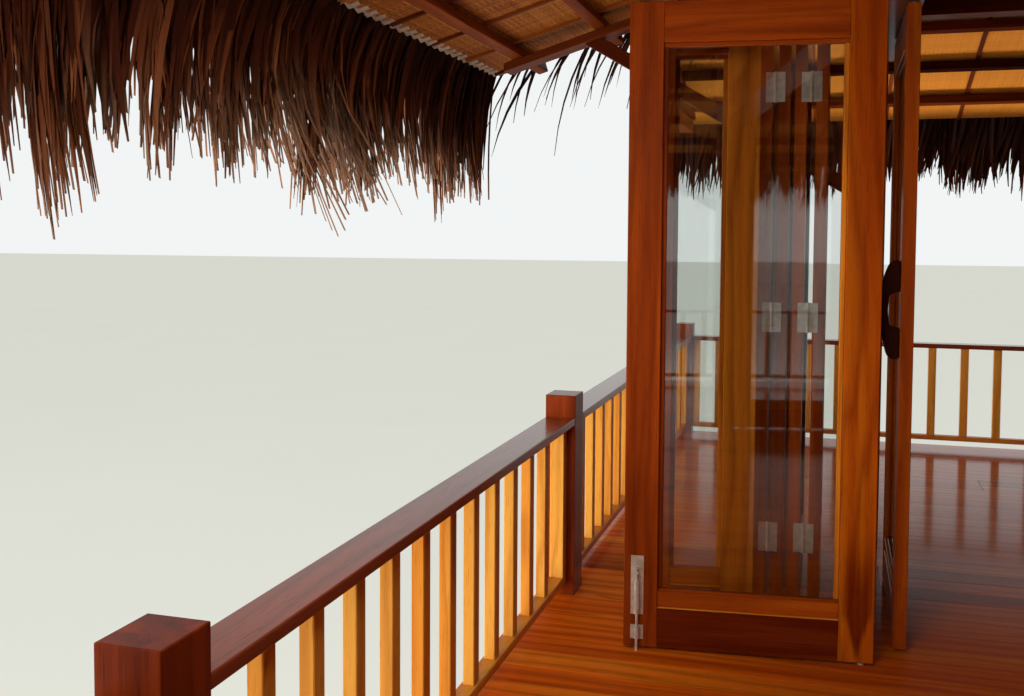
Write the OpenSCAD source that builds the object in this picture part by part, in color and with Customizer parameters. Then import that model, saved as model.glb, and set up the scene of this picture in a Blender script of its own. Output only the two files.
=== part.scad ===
// Stilt house: a teak river pavilion with folding glass doors, a deck with a low
// railing on all sides, a thatched gable roof and a thatched terrace roof at each end.
// Millimetres. X runs across the house from the river side (-X) to the land side (+X),
// Y runs along the river, Z is up. The origin is on the ground in the middle.
// Heights inside the house are given above the floor, and floor_h lifts them.

/* [Deck] */
// Top of the floor above the foot of the stilts
floor_h = 1700; // [1200:50:3000]
// Length of the deck along the river
deck_len = 10170; // [9600:10:13000]
// Width of the deck across the house
deck_w = 6960; // [6400:20:8400]
// Thickness of the floor boards
floor_t = 28; // [20:1:45]
// Width of a joist
joist_w = 50; // [40:5:80]
// Depth of a joist
joist_h = 120; // [90:5:200]
// Joists across the deck
joist_count = 13; // [9:1:17]
// Width of a bearer
bearer_w = 100; // [80:5:160]
// Depth of a bearer
bearer_h = 180; // [140:5:260]
// Thickness of the edge boards
edge_t = 24; // [18:1:40]

/* [Stilts] */
// Diameter of a stilt at its foot
stilt_foot_d = 230; // [160:5:320]
// Diameter of a stilt at its top
stilt_top_d = 190; // [140:5:280]
// Stilts in a row across the house
stilts_across = 4; // [3:1:5]
// Depth of a cross brace board
brace_h = 120; // [80:5:180]
// Thickness of a cross brace board
brace_t = 40; // [30:1:60]
// Lower end of a cross brace above the ground
brace_low = 300; // [200:20:500]
// Upper end of a cross brace above the ground
brace_high = 1050; // [800:10:1150]

/* [Railing] */
// Side of a corner newel, and width of the newels beside the middle bays
newel_w = 110; // [90:2:140]
// Length along the rail of the newels beside the middle bays
newel_d = 125; // [90:5:200]
// Top of a newel above the floor
newel_h = 725; // [650:5:1100]
// Distance of the newel centres from the edge of the deck
newel_inset = 75; // [60:1:120]
// Distance of the near middle newels from the middle of the house
near_newel = 753; // [600:1:900]
// Distance of the far middle newels from the middle of the house
far_newel = 1710; // [1500:1:1900]
// Distance from the end newels to the terrace posts
end_bay = 1680; // [1500:10:1720]
// Top of the handrail above the floor
rail_top = 645; // [560:5:1000]
// Width of the handrail
rail_w = 108; // [80:2:140]
// Thickness of the handrail
rail_t = 27; // [20:1:50]
// Depth of the bottom rail
low_rail_h = 28; // [20:1:60]
// Gap under the bottom rail
low_rail_gap = 46; // [20:1:90]
// Width of the bottom rail
low_rail_w = 50; // [40:5:90]
// Width of a baluster along the rail
baluster_w = 45; // [30:1:80]
// Thickness of a baluster across the rail
baluster_t = 32; // [24:1:40]
// Distance between balusters, centre to centre; each row stands in the middle of its bay
baluster_gap = 186; // [120:1:260]

/* [Room] */
// Side of a corner post
post_w = 130; // [110:5:180]
// Door leaves in a long side of the room
long_leaves = 7; // [6:1:7]
// Door leaves in a short side of the room
short_leaves = 6; // [5:1:7]
// Underside of the door head on the long sides, above the floor
door_head_z = 2022; // [1950:2:2100]
// Width of the door head
door_head_w = 180; // [150:5:220]
// Underside of the tie beams over the short sides, above the floor
tie_z = 2205; // [2190:1:2260]
// Depth of the tie beams
tie_h = 170; // [120:5:190]
// Width of the wall plates and tie beams
plate_w = 110; // [80:5:130]
// Least depth of the wall plates
plate_h = 64; // [50:2:90]
// Thickness of a transom or gable panel
panel_t = 20; // [12:1:40]

/* [Door leaves] */
// Width of a leaf
leaf_w = 755; // [700:5:820]
// Thickness of a leaf
leaf_t = 40; // [35:1:50]
// Gap beside each leaf
leaf_gap = 3; // [2:1:6]
// Gap over and under each leaf
leaf_end_gap = 10; // [6:1:14]
// Width of a stile
stile_w = 105; // [80:5:130]
// Depth of the top rail
top_rail_h = 125; // [80:5:150]
// Depth of the bottom rail with its weathered ledge
bottom_rail_h = 200; // [150:5:260]
// Depth of the plain foot of the bottom rail
plinth_h = 118; // [80:2:140]
// How far the ledge and the glazing bead lie back from the face
bead_step = 9; // [4:1:13]
// Width of the glazing bead
bead_w = 14; // [10:1:24]
// Thickness of the glass
glass_t = 5; // [4:1:8]

/* [Folded doors] */
// Distance of the bolt leaf from the far corner post
bolt_leaf_back = 1379; // [1360:1:1400]
// How far the bolt leaf and the second leaf stand out past the post line
bolt_leaf_out = 751; // [720:1:755]
// Turn of the bolt leaf from square to the wall in degrees
bolt_leaf_turn = 6; // [0:0.5:7]
// Distance of the second leaf behind the bolt leaf
second_leaf_step = 247; // [235:1:260]
// Turn of the second leaf in degrees
second_leaf_turn = 8; // [6:0.5:9]
// Distance of the near edge of the handle leaf from the far corner post
handle_leaf_back = 1214; // [1200:1:1230]
// Distance of the first fanned leaf from the far corner post
stack_back = 354; // [350:1:390]
// Distance between the fanned leaves
stack_step = 100; // [80:1:105]
// How far the first fanned leaf stands out past the post line
stack_out = 550; // [450:10:600]
// Each next fanned leaf stands out this much less
stack_fan = 58; // [0:2:80]
// Distance between the folded leaves of the far wall
far_stack_step = 96; // [60:2:130]

/* [Main roof] */
// Pitch of the main roof in degrees
roof_pitch = 17; // [14:0.5:20]
// Underside of the woven ceiling at the eave, above the floor
eave_z = 2096; // [2000:2:2200]
// Distance from the ridge line to the eave
eave_out = 4104; // [3900:2:4500]
// How far the roof runs past the end rafters
verge_out = 405; // [300:1:600]
// Width of a rafter plank
rafter_w = 120; // [60:5:125]
// Thickness of a rafter plank
rafter_t = 36; // [30:1:60]
// Side of a purlin
purlin_w = 50; // [40:2:60]
// Distance from the eave to the first purlin, along the slope
purlin_first = 221; // [150:1:260]
// Distance between purlins, along the slope
purlin_step = 400; // [300:10:480]
// Width of a ceiling batten
batten_w = 22; // [14:1:40]
// Thickness of a ceiling batten
batten_t = 12; // [8:1:20]
// Distance between ceiling battens
batten_step = 435; // [350:5:700]
// Thickness of the woven ceiling
mat_t = 8; // [5:1:15]
// Thickness of the thatch
thatch_t = 110; // [60:5:180]
// Width of the ridge beam
ridge_w = 60; // [45:5:90]
// Depth of the ridge beam
ridge_h = 150; // [110:5:200]
// Depth of a knee brace
knee_h = 62; // [50:2:100]
// Thickness of a knee brace
knee_t = 50; // [40:5:80]
// Slope of the knee braces in degrees
knee_angle = 31; // [28:1:40]
// Height of the foot of the knee brace above the floor
knee_foot = 1460; // [1350:10:1600]

/* [Fringe] */
// Length of the palm fringe at the main eaves
fringe_len = 690; // [400:10:800]
// Length of the palm fringe at the terrace eaves
terrace_fringe_len = 540; // [350:10:650]
// Thickness of the fringe
fringe_t = 70; // [40:5:110]

/* [Terrace roofs] */
// Pitch of the terrace roofs in degrees
terrace_pitch = 15.1; // [12:0.1:17]
// Underside of the woven ceiling at the terrace eave, above the floor
terrace_eave_z = 2050; // [1980:2:2120]
// How far the terrace eave lies past the end newels
terrace_eave_out = 260; // [120:10:400]
// How far the terrace roof runs past the newel line at its sides
terrace_side_out = 120; // [80:10:200]
// Clearance between the main verge and the terrace roof
roof_clear = 90; // [60:5:140]
// Distance between the middle terrace posts
middle_posts = 2200; // [1800:20:2600]
// Distance from the terrace eave to its first purlin
terrace_purlin_first = 400; // [300:10:520]
// Distance between the terrace purlins
terrace_purlin_step = 498; // [400:1:700]
// Depth of the terrace head beams and outriggers
terrace_beam_h = 90; // [70:5:110]
// Width of the terrace beams
terrace_beam_w = 90; // [70:5:108]
// Depth of the horizontal side beams
side_beam_h = 80; // [60:5:110]

/* [Door fittings] */
// Diameter of the pins that carry the leaves
pin_d = 20; // [12:1:30]
// Top of the tower bolt above the floor
bolt_top = 300; // [280:4:400]
// Width of the plate of the tower bolt
bolt_w = 40; // [32:2:50]
// Diameter of the rod of the tower bolt
bolt_rod_d = 9; // [7:1:12]
// Length of the pull handle
pull_len = 310; // [240:10:400]
// How far the pull handle stands out
pull_out = 70; // [60:2:90]
// Thickness of the pull handle
pull_t = 26; // [16:1:36]
// Height of the lower end of the pull handle above the floor
pull_z = 918; // [800:2:1100]
// Length of the finger gap behind the pull handle
pull_gap_h = 106; // [90:2:130]
// Depth of the finger gap behind the pull handle
pull_gap = 45; // [35:1:48]

/* [Hidden] */
$fn = 32;
// Clearance between like pieces that lie side by side
side_clear = 2;
// How far the cross braces are housed into the stilts at their tops
brace_house = 4;
// Clearance between the folded far leaves and the door head beside them
head_clear = 10;
// Clearance of a pane in its groove
pane_clear = 0.3;
// Depth of the groove that holds a pane
groove_d = 6;
// Thickness of the ridge cap, and how far it laps each slope
cap_t = 60;
cap_out = 420;

// Tower bolt: its distance from the edge of the leaf, its plate and barrel, the keeper under
// them, the rod through both, the knob on the rod and the lip over it
bolt_edge = 42;
bolt_plate_t = 3;
bolt_plate_z = 114;
barrel_d = 19;
barrel_len = 104;
barrel_y = 1.5 - bolt_plate_t - barrel_d / 2;
keeper_z = 36;
keeper_h = 44;
keeper_rim = 4;
bolt_knob_z = bolt_top - 46;
bolt_knob_len = 22;
bolt_knob_d = 12;
bolt_rod_top = bolt_top - 36;
bolt_lip_z = bolt_top - 28;
bolt_lip_h = 7;
bolt_lip_out = 8;

// Pull handle: its round ends, the straight of its bow, and its place on the stile
pull_end_r = 18;
pull_bow_r = 9;
pull_flat = 0.44 * pull_len;
pull_gap_r = 16;
pull_edge = 37;

// Timber colours
teak_dark = [0.36, 0.13, 0.07];
teak_red = [0.50, 0.20, 0.09];
teak_orange = [0.72, 0.36, 0.12];
teak_honey = [0.82, 0.53, 0.22];
log_brown = [0.40, 0.30, 0.22];
mat_tan = [0.72, 0.52, 0.27];
palm_brown = [0.35, 0.22, 0.13];
palm_dark = [0.24, 0.14, 0.09];
glass_tint = [0.75, 0.88, 0.88, 0.35];
steel_grey = [0.72, 0.72, 0.70];

// Plan of the deck and of the railing
newel_x = deck_w / 2 - newel_inset;
end_newel_y = deck_len / 2 - newel_inset;
terrace_post_y = end_newel_y - end_bay;
middle_post_x = middle_posts / 2;

// Plan of the room, from the leaves that close its walls
room_x = (short_leaves * leaf_w + (short_leaves + 1) * leaf_gap + post_w) / 2;
room_y = (long_leaves * leaf_w + (long_leaves + 1) * leaf_gap + post_w) / 2;
long_leaf_h = door_head_z - 2 * leaf_end_gap;
short_leaf_h = tie_z - 2 * leaf_end_gap;

// Main roof: height of a level n above the ceiling plane, at a distance x from the ridge line
roof_run = tan(roof_pitch);
ridge_z = eave_z + roof_run * eave_out;
function roof_z(x, n) = ridge_z - roof_run * x + n / cos(roof_pitch);
slope_len = eave_out / cos(roof_pitch);
verge_y = room_y + verge_out;
purlin_n = -batten_t - purlin_w;
rafter_n = purlin_n - rafter_t;
thatch_n = mat_t + thatch_t;
rafter_end_x = (slope_len - purlin_first + purlin_w) * cos(roof_pitch);
plate_out_x = room_x + plate_w / 2;
plate_in_x = room_x - plate_w / 2;
plate_z = roof_z(plate_out_x, rafter_n) - plate_h;
ridge_beam_top = roof_z(ridge_w / 2, purlin_n);
ridge_beam_z = ridge_beam_top - ridge_h;
tie_top = tie_z + tie_h;
frame_rows = [-room_y, 0, room_y];

// Terrace roof: height of a level n above the ceiling plane, at a distance y from the middle
terrace_run = tan(terrace_pitch);
terrace_eave_y = end_newel_y + terrace_eave_out;
terrace_top_y = verge_y + roof_clear;
terrace_x = newel_x + terrace_side_out;
function terrace_z(y, n) = terrace_eave_z + terrace_run * (terrace_eave_y - y) + n / cos(terrace_pitch);
terrace_rafter_x = [-newel_x, -middle_post_x, middle_post_x, newel_x];
head_far_y = terrace_post_y + terrace_beam_w / 2;
head_near_y = terrace_post_y - terrace_beam_w / 2;
head_beam_z = terrace_z(head_far_y, rafter_n) - terrace_beam_h;
rafter_low_y = end_newel_y + newel_w / 2;
side_beam_y = terrace_eave_y - terrace_purlin_first + purlin_w;
side_beam_top = terrace_z(side_beam_y, rafter_n);

// Substructure levels, measured from the ground
joist_z = floor_h - floor_t - joist_h;
bearer_z = joist_z - bearer_h;
stilt_x = newel_x - bearer_w;
end_row_y = end_newel_y - bearer_w;
stilt_rows = [-end_row_y, -room_y, 0, room_y, end_row_y];
brace_seat = stilt_top_d / 2 - brace_house;
function stilt_place(i) = -stilt_x + 2 * stilt_x * i / (stilts_across - 1);

module above_floor() translate([0, 0, floor_h]) children();
module both_sides() { children(); mirror([1, 0, 0]) children(); }
module both_ends() { children(); mirror([0, 1, 0]) children(); }

// An outline in X and Z, drawn out along Y
module along_y(y0, y1) translate([0, y1, 0]) rotate([90, 0, 0]) linear_extrude(y1 - y0) children();
// An outline in Y and Z, drawn out along X
module along_x(x0, x1) translate([x0, 0, 0]) rotate([90, 0, 90]) linear_extrude(x1 - x0) children();

// A layer of the main roof between two distances from the ridge line, with plumb ends
module roof_layer(x0, x1, n0, n1) polygon([
  [x0, roof_z(x0, n0)], [x1, roof_z(x1, n0)], [x1, roof_z(x1, n1)], [x0, roof_z(x0, n1)]]);
// A layer of the terrace roof between two distances from the middle, with plumb ends
module terrace_layer(y0, y1, n0, n1) polygon([
  [y0, terrace_z(y0, n0)], [y1, terrace_z(y1, n0)], [y1, terrace_z(y1, n1)], [y0, terrace_z(y0, n1)]]);
// A square bar that lies on the main slope, u down the slope from the ridge line
module roof_bar(u0, u1, y0, y1, n0, n1)
  translate([0, y0, ridge_z]) rotate([0, roof_pitch, 0])
    translate([u0, 0, n0]) cube([u1 - u0, y1 - y0, n1 - n0]);
// A square bar that lies on the terrace slope, u up the slope from the eave
module terrace_bar(u0, u1, x0, x1, n0, n1)
  translate([x0, terrace_eave_y, terrace_eave_z]) rotate([-terrace_pitch, 0, 0])
    translate([0, -u1, n0]) cube([x1 - x0, u1 - u0, n1 - n0]);

// Round timber stilts, thicker at the foot, in rows under the bearers
module stilts() color(log_brown)
  for (y = stilt_rows, i = [0 : stilts_across - 1])
    translate([stilt_place(i), y, 0]) cylinder(h = bearer_z, d1 = stilt_foot_d, d2 = stilt_top_d);

// Boards housed onto the outer sides of the outer stilts, rising and falling by turns
module stilt_braces() color(log_brown) difference() {
  union() {
    both_ends() brace_run([for (i = [0 : stilts_across - 1]) stilt_place(i)], end_row_y);
    both_sides() mirror([1, -1, 0]) brace_run(stilt_rows, stilt_x);
  }
  stilts();
}
// A run of brace boards past the stilts at the places given along X, on the +Y side of y
module brace_run(places, y) for (i = [0 : len(places) - 2]) {
  from = i % 2 == 0 ? brace_low : brace_high;
  to = i % 2 == 0 ? brace_high : brace_low;
  x0 = places[i] + side_clear / 2;
  x1 = places[i + 1] - side_clear / 2;
  along_y(y + brace_seat, y + brace_seat + brace_t)
    polygon([[x0, from], [x1, to], [x1, to + brace_h], [x0, from + brace_h]]);
}

// Bearers across the house, one on each row of stilts
module bearers() color(teak_dark)
  for (y = stilt_rows)
    translate([-newel_x, y - bearer_w / 2, bearer_z]) cube([2 * newel_x, bearer_w, bearer_h]);

// Joists along the house, laid on the bearers
module joists() color(teak_dark) {
  run = deck_w / 2 - edge_t - joist_w / 2;
  for (i = [0 : joist_count - 1])
    translate([-run + 2 * run * i / (joist_count - 1) - joist_w / 2, -deck_len / 2 + edge_t, joist_z])
      cube([joist_w, deck_len - 2 * edge_t, joist_h]);
}

// Boards that close the edge of the deck under the floor
module edge_boards() color(teak_red) {
  both_sides() translate([deck_w / 2 - edge_t, -deck_len / 2, joist_z])
    cube([edge_t, deck_len, joist_h]);
  both_ends() translate([-deck_w / 2 + edge_t + side_clear, deck_len / 2 - edge_t, joist_z])
    cube([deck_w - 2 * edge_t - 2 * side_clear, edge_t, joist_h]);
}

// The boarded floor
module deck_floor() color(teak_red)
  translate([-deck_w / 2, -deck_len / 2, floor_h - floor_t]) cube([deck_w, deck_len, floor_t]);

// Short newels: square ones at the corners, deeper ones beside the middle bays
module newels() color(teak_red) above_floor() both_sides() {
  for (y = [-end_newel_y, end_newel_y])
    translate([newel_x - newel_w / 2, y - newel_w / 2, 0]) cube([newel_w, newel_w, newel_h]);
  for (y = [-near_newel, far_newel])
    translate([newel_x - newel_w / 2, y - newel_d / 2, 0]) cube([newel_w, newel_d, newel_h]);
}

// One bay of handrail, from x = 0 to x = len
module handrail_bay(len)
  translate([0, -rail_w / 2, rail_top - rail_t]) cube([len, rail_w, rail_t]);
// One bay of railing: the bottom rail, a stile against each newel, and balusters between
module railing_bay(len) {
  count = round((len - baluster_w) / baluster_gap) - 1;
  first = (len - (count - 1) * baluster_gap - baluster_w) / 2;
  stile_h = rail_top - rail_t - low_rail_gap;
  translate([0, -low_rail_w / 2, low_rail_gap]) cube([len, low_rail_w, low_rail_h]);
  for (x = [0, len - baluster_w])
    translate([x, -low_rail_w / 2, low_rail_gap]) cube([baluster_w, low_rail_w, stile_h]);
  for (i = [0 : count - 1])
    translate([first + i * baluster_gap, -baluster_t / 2, low_rail_gap])
      cube([baluster_w, baluster_t, stile_h]);
}
// Bays between the faces of the newels and posts: [start, end], along the sides and the ends
half_w = newel_w / 2;
half_d = newel_d / 2;
long_bays = [
  [-end_newel_y + half_w, -terrace_post_y - half_w], [-terrace_post_y + half_w, -near_newel - half_d],
  [far_newel + half_d, terrace_post_y - half_w], [terrace_post_y + half_w, end_newel_y - half_w]];
middle_bay = [-near_newel + half_d, far_newel - half_d];
short_bays = [
  [-newel_x + half_w, -middle_post_x - half_w], [-middle_post_x + half_w, middle_post_x - half_w],
  [middle_post_x + half_w, newel_x - half_w]];
module long_side(x, bays, kind) for (b = bays)
  translate([x, b[0], 0]) rotate([0, 0, 90]) bay_of(kind, b[1] - b[0]);
module short_side(y, kind) for (b = short_bays) translate([b[0], y, 0]) bay_of(kind, b[1] - b[0]);
module bay_of(kind, len) if (kind == "handrail") handrail_bay(len); else railing_bay(len);

// Flat handrails let in between the newels, open at the entry on the land side
module handrails() color(teak_dark) above_floor() {
  long_side(-newel_x, concat(long_bays, [middle_bay]), "handrail");
  long_side(newel_x, long_bays, "handrail");
  short_side(end_newel_y, "handrail");
  short_side(-end_newel_y, "handrail");
}
module river_railing() color(teak_honey) above_floor()
  long_side(-newel_x, concat(long_bays, [middle_bay]), "panel");
module land_railing() color(teak_honey) above_floor() long_side(newel_x, long_bays, "panel");
module far_railing() color(teak_honey) above_floor() short_side(end_newel_y, "panel");
module near_railing() color(teak_honey) above_floor() short_side(-end_newel_y, "panel");

// Corner posts of the room, up to the wall plates
module room_posts() color(teak_orange) above_floor()
  both_sides() both_ends()
    translate([room_x - post_w / 2, room_y - post_w / 2, 0]) cube([post_w, post_w, plate_z]);

// Heads over the leaves of the long sides, let in between the corner posts
module door_heads() color(teak_orange) above_floor()
  both_sides() translate([room_x + post_w / 2 - door_head_w, -room_y + post_w / 2, door_head_z])
    cube([door_head_w, 2 * room_y - post_w, tie_z - door_head_z]);

// Tie beams: between the corner posts at the ends, and on the door heads in the middle
module tie_beams() color(teak_dark) above_floor() {
  for (y = [-room_y, room_y])
    translate([-room_x + post_w / 2, y - plate_w / 2, tie_z])
      cube([2 * room_x - post_w, plate_w, tie_h]);
  translate([-plate_out_x, -plate_w / 2, tie_z]) cube([2 * plate_out_x, plate_w, tie_h]);
}

// Short studs between the door heads and the wall plates
module transom_studs() color(teak_orange) above_floor() both_sides() {
  for (y = [-room_y / 2, room_y / 2])
    translate([plate_in_x, y - plate_w / 2, tie_z]) cube([plate_w, plate_w, plate_z - tie_z]);
  translate([plate_in_x, -plate_w / 2, tie_top]) cube([plate_w, plate_w, plate_z - tie_top]);
}

// Panels that close the transom between the studs
module transom_panels() color(mat_tan) above_floor() both_sides() both_ends() {
  bays = [[plate_w / 2, room_y / 2 - plate_w / 2], [room_y / 2 + plate_w / 2, room_y - post_w / 2]];
  for (b = bays)
    translate([room_x - panel_t / 2, b[0], tie_z]) cube([panel_t, b[1] - b[0], plate_z - tie_z]);
}

// Wall plates on the posts and studs, their tops cut to the pitch of the rafters
module wall_plates() color(teak_dark) above_floor() both_sides()
  along_y(-room_y - post_w / 2, room_y + post_w / 2) polygon([
    [plate_in_x, plate_z], [plate_out_x, plate_z],
    [plate_out_x, roof_z(plate_out_x, rafter_n)], [plate_in_x, roof_z(plate_in_x, rafter_n)]]);

// Panels that close the gables over the tie beams, each side of the king post
module gable_panels() color(mat_tan) above_floor() both_sides() both_ends()
  along_y(room_y - panel_t / 2, room_y + panel_t / 2) difference() {
    polygon([
      [plate_w / 2, tie_top], [plate_in_x, tie_top],
      [plate_in_x, roof_z(plate_in_x, rafter_n)], [plate_w / 2, roof_z(plate_w / 2, rafter_n)]]);
    translate([room_x - post_w / 2, 0]) square([post_w, plate_z]);
  }

// King posts from the tie beams to the ridge beam
module king_posts() color(teak_dark) above_floor()
  for (y = frame_rows)
    translate([-plate_w / 2, y - plate_w / 2, tie_top]) cube([plate_w, plate_w, ridge_beam_z - tie_top]);

// Ridge beam over the king posts
module ridge_beam() color(teak_dark) above_floor()
  translate([-ridge_w / 2, -verge_y, ridge_beam_z]) cube([ridge_w, 2 * verge_y, ridge_h]);

// Rafter planks: three pairs, from the ridge beam over the wall plates to the eaves
module main_rafters() color(teak_dark) above_floor()
  both_sides() for (y = frame_rows)
    along_y(y - rafter_w / 2, y + rafter_w / 2) roof_layer(ridge_w / 2, rafter_end_x, rafter_n, purlin_n);

// Knee braces from the corner posts up to the overhang of the end rafters
module knee_braces() color(teak_dark) above_floor() both_sides() both_ends()
  along_y(room_y - knee_t / 2, room_y + knee_t / 2) polygon([
    [post_out_x, knee_foot], [knee_x(0), roof_z(knee_x(0), rafter_n)],
    [knee_x(knee_h), roof_z(knee_x(knee_h), rafter_n)],
    [post_out_x, knee_foot + knee_h / cos(knee_angle)]]);
post_out_x = room_x + post_w / 2;
function knee_x(n) = (roof_z(0, rafter_n) - knee_foot - n / cos(knee_angle) + tan(knee_angle) * post_out_x)
  / (tan(knee_angle) + roof_run);

// Purlins along the house, laid on the rafters
purlin_count = floor((slope_len - purlin_first - ridge_w) / purlin_step) + 1;
module main_purlins() color(teak_red) above_floor() both_sides()
  for (i = [0 : purlin_count - 1])
    roof_bar(slope_len - purlin_first - purlin_w / 2 - i * purlin_step,
      slope_len - purlin_first + purlin_w / 2 - i * purlin_step, -verge_y, verge_y, purlin_n, -batten_t);

// Thatch of the two main slopes
module main_thatch() color(palm_brown) above_floor() both_sides()
  along_y(-verge_y, verge_y) roof_layer(side_clear / 2, eave_out, mat_t, thatch_n);

// Thatch folded over the ridge
module ridge_cap() color(palm_dark) above_floor() along_y(-verge_y, verge_y) polygon([
  [-cap_out, roof_z(cap_out, thatch_n)], [0, roof_z(0, thatch_n)],
  [cap_out, roof_z(cap_out, thatch_n)], [cap_out, roof_z(cap_out, thatch_n + cap_t)],
  [0, roof_z(0, thatch_n + cap_t)], [-cap_out, roof_z(cap_out, thatch_n + cap_t)]]);

// Tall posts in the railing line that carry the terrace roofs, tops cut to the rafters
module terrace_posts() color(teak_red) above_floor() both_ends() both_sides() {
  translate([newel_x - newel_w / 2, terrace_post_y - newel_w / 2, 0])
    cube([newel_w, newel_w, head_beam_z]);
  along_x(middle_post_x - newel_w / 2, middle_post_x + newel_w / 2) polygon([
    [end_newel_y - newel_w / 2, 0], [rafter_low_y, 0], [rafter_low_y, terrace_z(rafter_low_y, rafter_n)],
    [end_newel_y - newel_w / 2, terrace_z(end_newel_y - newel_w / 2, rafter_n)]]);
}

// Level beams that stand out along the house: from the corner posts of the room to the
// terrace head beams, and from the tall terrace posts to the far eave
module terrace_level_beams() color(teak_dark) above_floor() both_ends() both_sides() {
  translate([room_x - terrace_beam_w / 2, room_y + post_w / 2, head_beam_z - terrace_beam_h])
    cube([terrace_beam_w, head_far_y - room_y - post_w / 2, terrace_beam_h]);
  translate([newel_x - terrace_beam_w / 2, terrace_post_y + newel_w / 2, side_beam_top - side_beam_h])
    cube([terrace_beam_w, side_beam_y - terrace_post_y - newel_w / 2, side_beam_h]);
}

// Head beams under the high ends of the terrace rafters
module terrace_head_beams() color(teak_dark) above_floor() both_ends()
  along_x(-newel_x - newel_w / 2, newel_x + newel_w / 2) polygon([
    [head_near_y, head_beam_z], [head_far_y, head_beam_z],
    [head_far_y, terrace_z(head_far_y, rafter_n)], [head_near_y, terrace_z(head_near_y, rafter_n)]]);

// Rafter planks of the terrace roofs
module terrace_rafters() color(teak_dark) above_floor() both_ends()
  for (x = terrace_rafter_x) along_x(x - rafter_w / 2, x + rafter_w / 2)
    terrace_layer(terrace_top_y, abs(x) < newel_x ? rafter_low_y : side_beam_y, rafter_n, purlin_n);

// Purlins of the terrace roofs, across the house
terrace_slope_len = (terrace_eave_y - terrace_top_y) / cos(terrace_pitch);
terrace_purlin_count = floor((terrace_slope_len - terrace_purlin_first) / terrace_purlin_step) + 1;
module terrace_purlins() color(teak_red) above_floor() both_ends()
  for (i = [0 : terrace_purlin_count - 1])
    terrace_bar(terrace_purlin_first - purlin_w / 2 + i * terrace_purlin_step,
      terrace_purlin_first + purlin_w / 2 + i * terrace_purlin_step, -terrace_x, terrace_x,
      purlin_n, -batten_t);

// Thatch of the terrace roofs
module terrace_thatch() color(palm_brown) above_floor() both_ends()
  along_x(-terrace_x, terrace_x) terrace_layer(terrace_top_y, terrace_eave_y, mat_t, thatch_n);

// Thin battens down every slope, laid over the purlins to hold the woven ceilings
batten_count = 2 * floor(verge_y / batten_step) + 1;
terrace_batten_count = 2 * floor(terrace_x / batten_step) + 1;
function batten_place(i, count) = (i + 0.5 - count / 2) * batten_step - batten_w / 2;
module ceiling_battens() color(teak_dark) above_floor() {
  both_sides() for (i = [0 : batten_count - 1]) {
    y = batten_place(i, batten_count);
    roof_bar(ridge_w, slope_len, y, y + batten_w, -batten_t, 0);
  }
  both_ends() for (i = [0 : terrace_batten_count - 1]) {
    x = batten_place(i, terrace_batten_count);
    terrace_bar(0, terrace_slope_len, x, x + batten_w, -batten_t, 0);
  }
}

// Woven bamboo ceilings under the thatch of every slope
module woven_ceilings() color(mat_tan) above_floor() {
  both_sides() along_y(-verge_y, verge_y) roof_layer(side_clear / 2, eave_out, 0, mat_t);
  both_ends() along_x(-terrace_x, terrace_x) terrace_layer(terrace_top_y, terrace_eave_y, 0, mat_t);
}

// Palm leaves that hang from the eaves of every slope
module palm_fringes() color(palm_dark) above_floor() {
  both_sides() translate([eave_out, -verge_y, eave_z - fringe_len])
    cube([fringe_t, 2 * verge_y, fringe_len + thatch_t]);
  both_ends() translate([-terrace_x, terrace_eave_y, terrace_eave_z - terrace_fringe_len])
    cube([2 * terrace_x, fringe_t, terrace_fringe_len + thatch_t]);
}

// A glazed leaf that stands across X at the origin: stiles, rails, set-back beads and ledge
pane_w = leaf_w - 2 * stile_w - 2 * bead_w;
module leaf_frame(h) {
  pane_h = h - bottom_rail_h - top_rail_h - bead_w;
  difference() {
    translate([-leaf_w / 2, -leaf_t / 2, 0]) cube([leaf_w, leaf_t, h]);
    translate([-pane_w / 2, -leaf_t, bottom_rail_h]) cube([pane_w, 2 * leaf_t, pane_h]);
    for (s = [-1, 1]) translate([-pane_w / 2 - bead_w, s * leaf_t / 2 - bead_step, plinth_h])
      cube([pane_w + 2 * bead_w, 2 * bead_step, h - plinth_h - top_rail_h]);
    translate([-pane_w / 2 - groove_d, -glass_t / 2 - pane_clear, bottom_rail_h - groove_d])
      cube([pane_w + 2 * groove_d, glass_t + 2 * pane_clear, pane_h + 2 * groove_d]);
  }
}
// The pane of such a leaf, standing on the foot of its groove
module leaf_pane(h) {
  pane_h = h - bottom_rail_h - top_rail_h - bead_w;
  translate([-pane_w / 2 - groove_d + pane_clear, -glass_t / 2, bottom_rail_h - groove_d])
    cube([pane_w + 2 * groove_d - 2 * pane_clear, glass_t, pane_h + 2 * groove_d - pane_clear]);
}
// A leaf frame or a pane, by its kind
module leaf_piece(kind, h) {
  if (kind == "frame") leaf_frame(h);
  if (kind == "pane") leaf_pane(h);
}
// Where the leaves stand: [x, y, turn], the turn is from a leaf that stands across X
track_x = room_x + post_w / 2 - door_head_w / 2;
bolt_leaf_x = -(room_x + bolt_leaf_out - leaf_w / 2);
bolt_leaf_y = room_y - post_w / 2 - bolt_leaf_back;
bolt_leaf_pos = [bolt_leaf_x, bolt_leaf_y, bolt_leaf_turn];
second_leaf_pos = [bolt_leaf_x, bolt_leaf_y + second_leaf_step, second_leaf_turn];
handle_leaf_pos = [-(room_x - post_w / 2) + leaf_t / 2, room_y - post_w / 2 - handle_leaf_back + leaf_w / 2, 90];
fan_count = long_leaves - 3;
function fan_pos(i) = [
  -(room_x + stack_out - leaf_w / 2 - i * stack_fan), room_y - post_w / 2 - stack_back + i * stack_step, 0];
function far_pos(i) = [room_x + post_w / 2 - door_head_w - leaf_t / 2 - head_clear - i * far_stack_step, room_y, 90];
function near_pos(i) = [(i + 0.5 - short_leaves / 2) * (leaf_w + leaf_gap), -room_y, 0];
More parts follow.
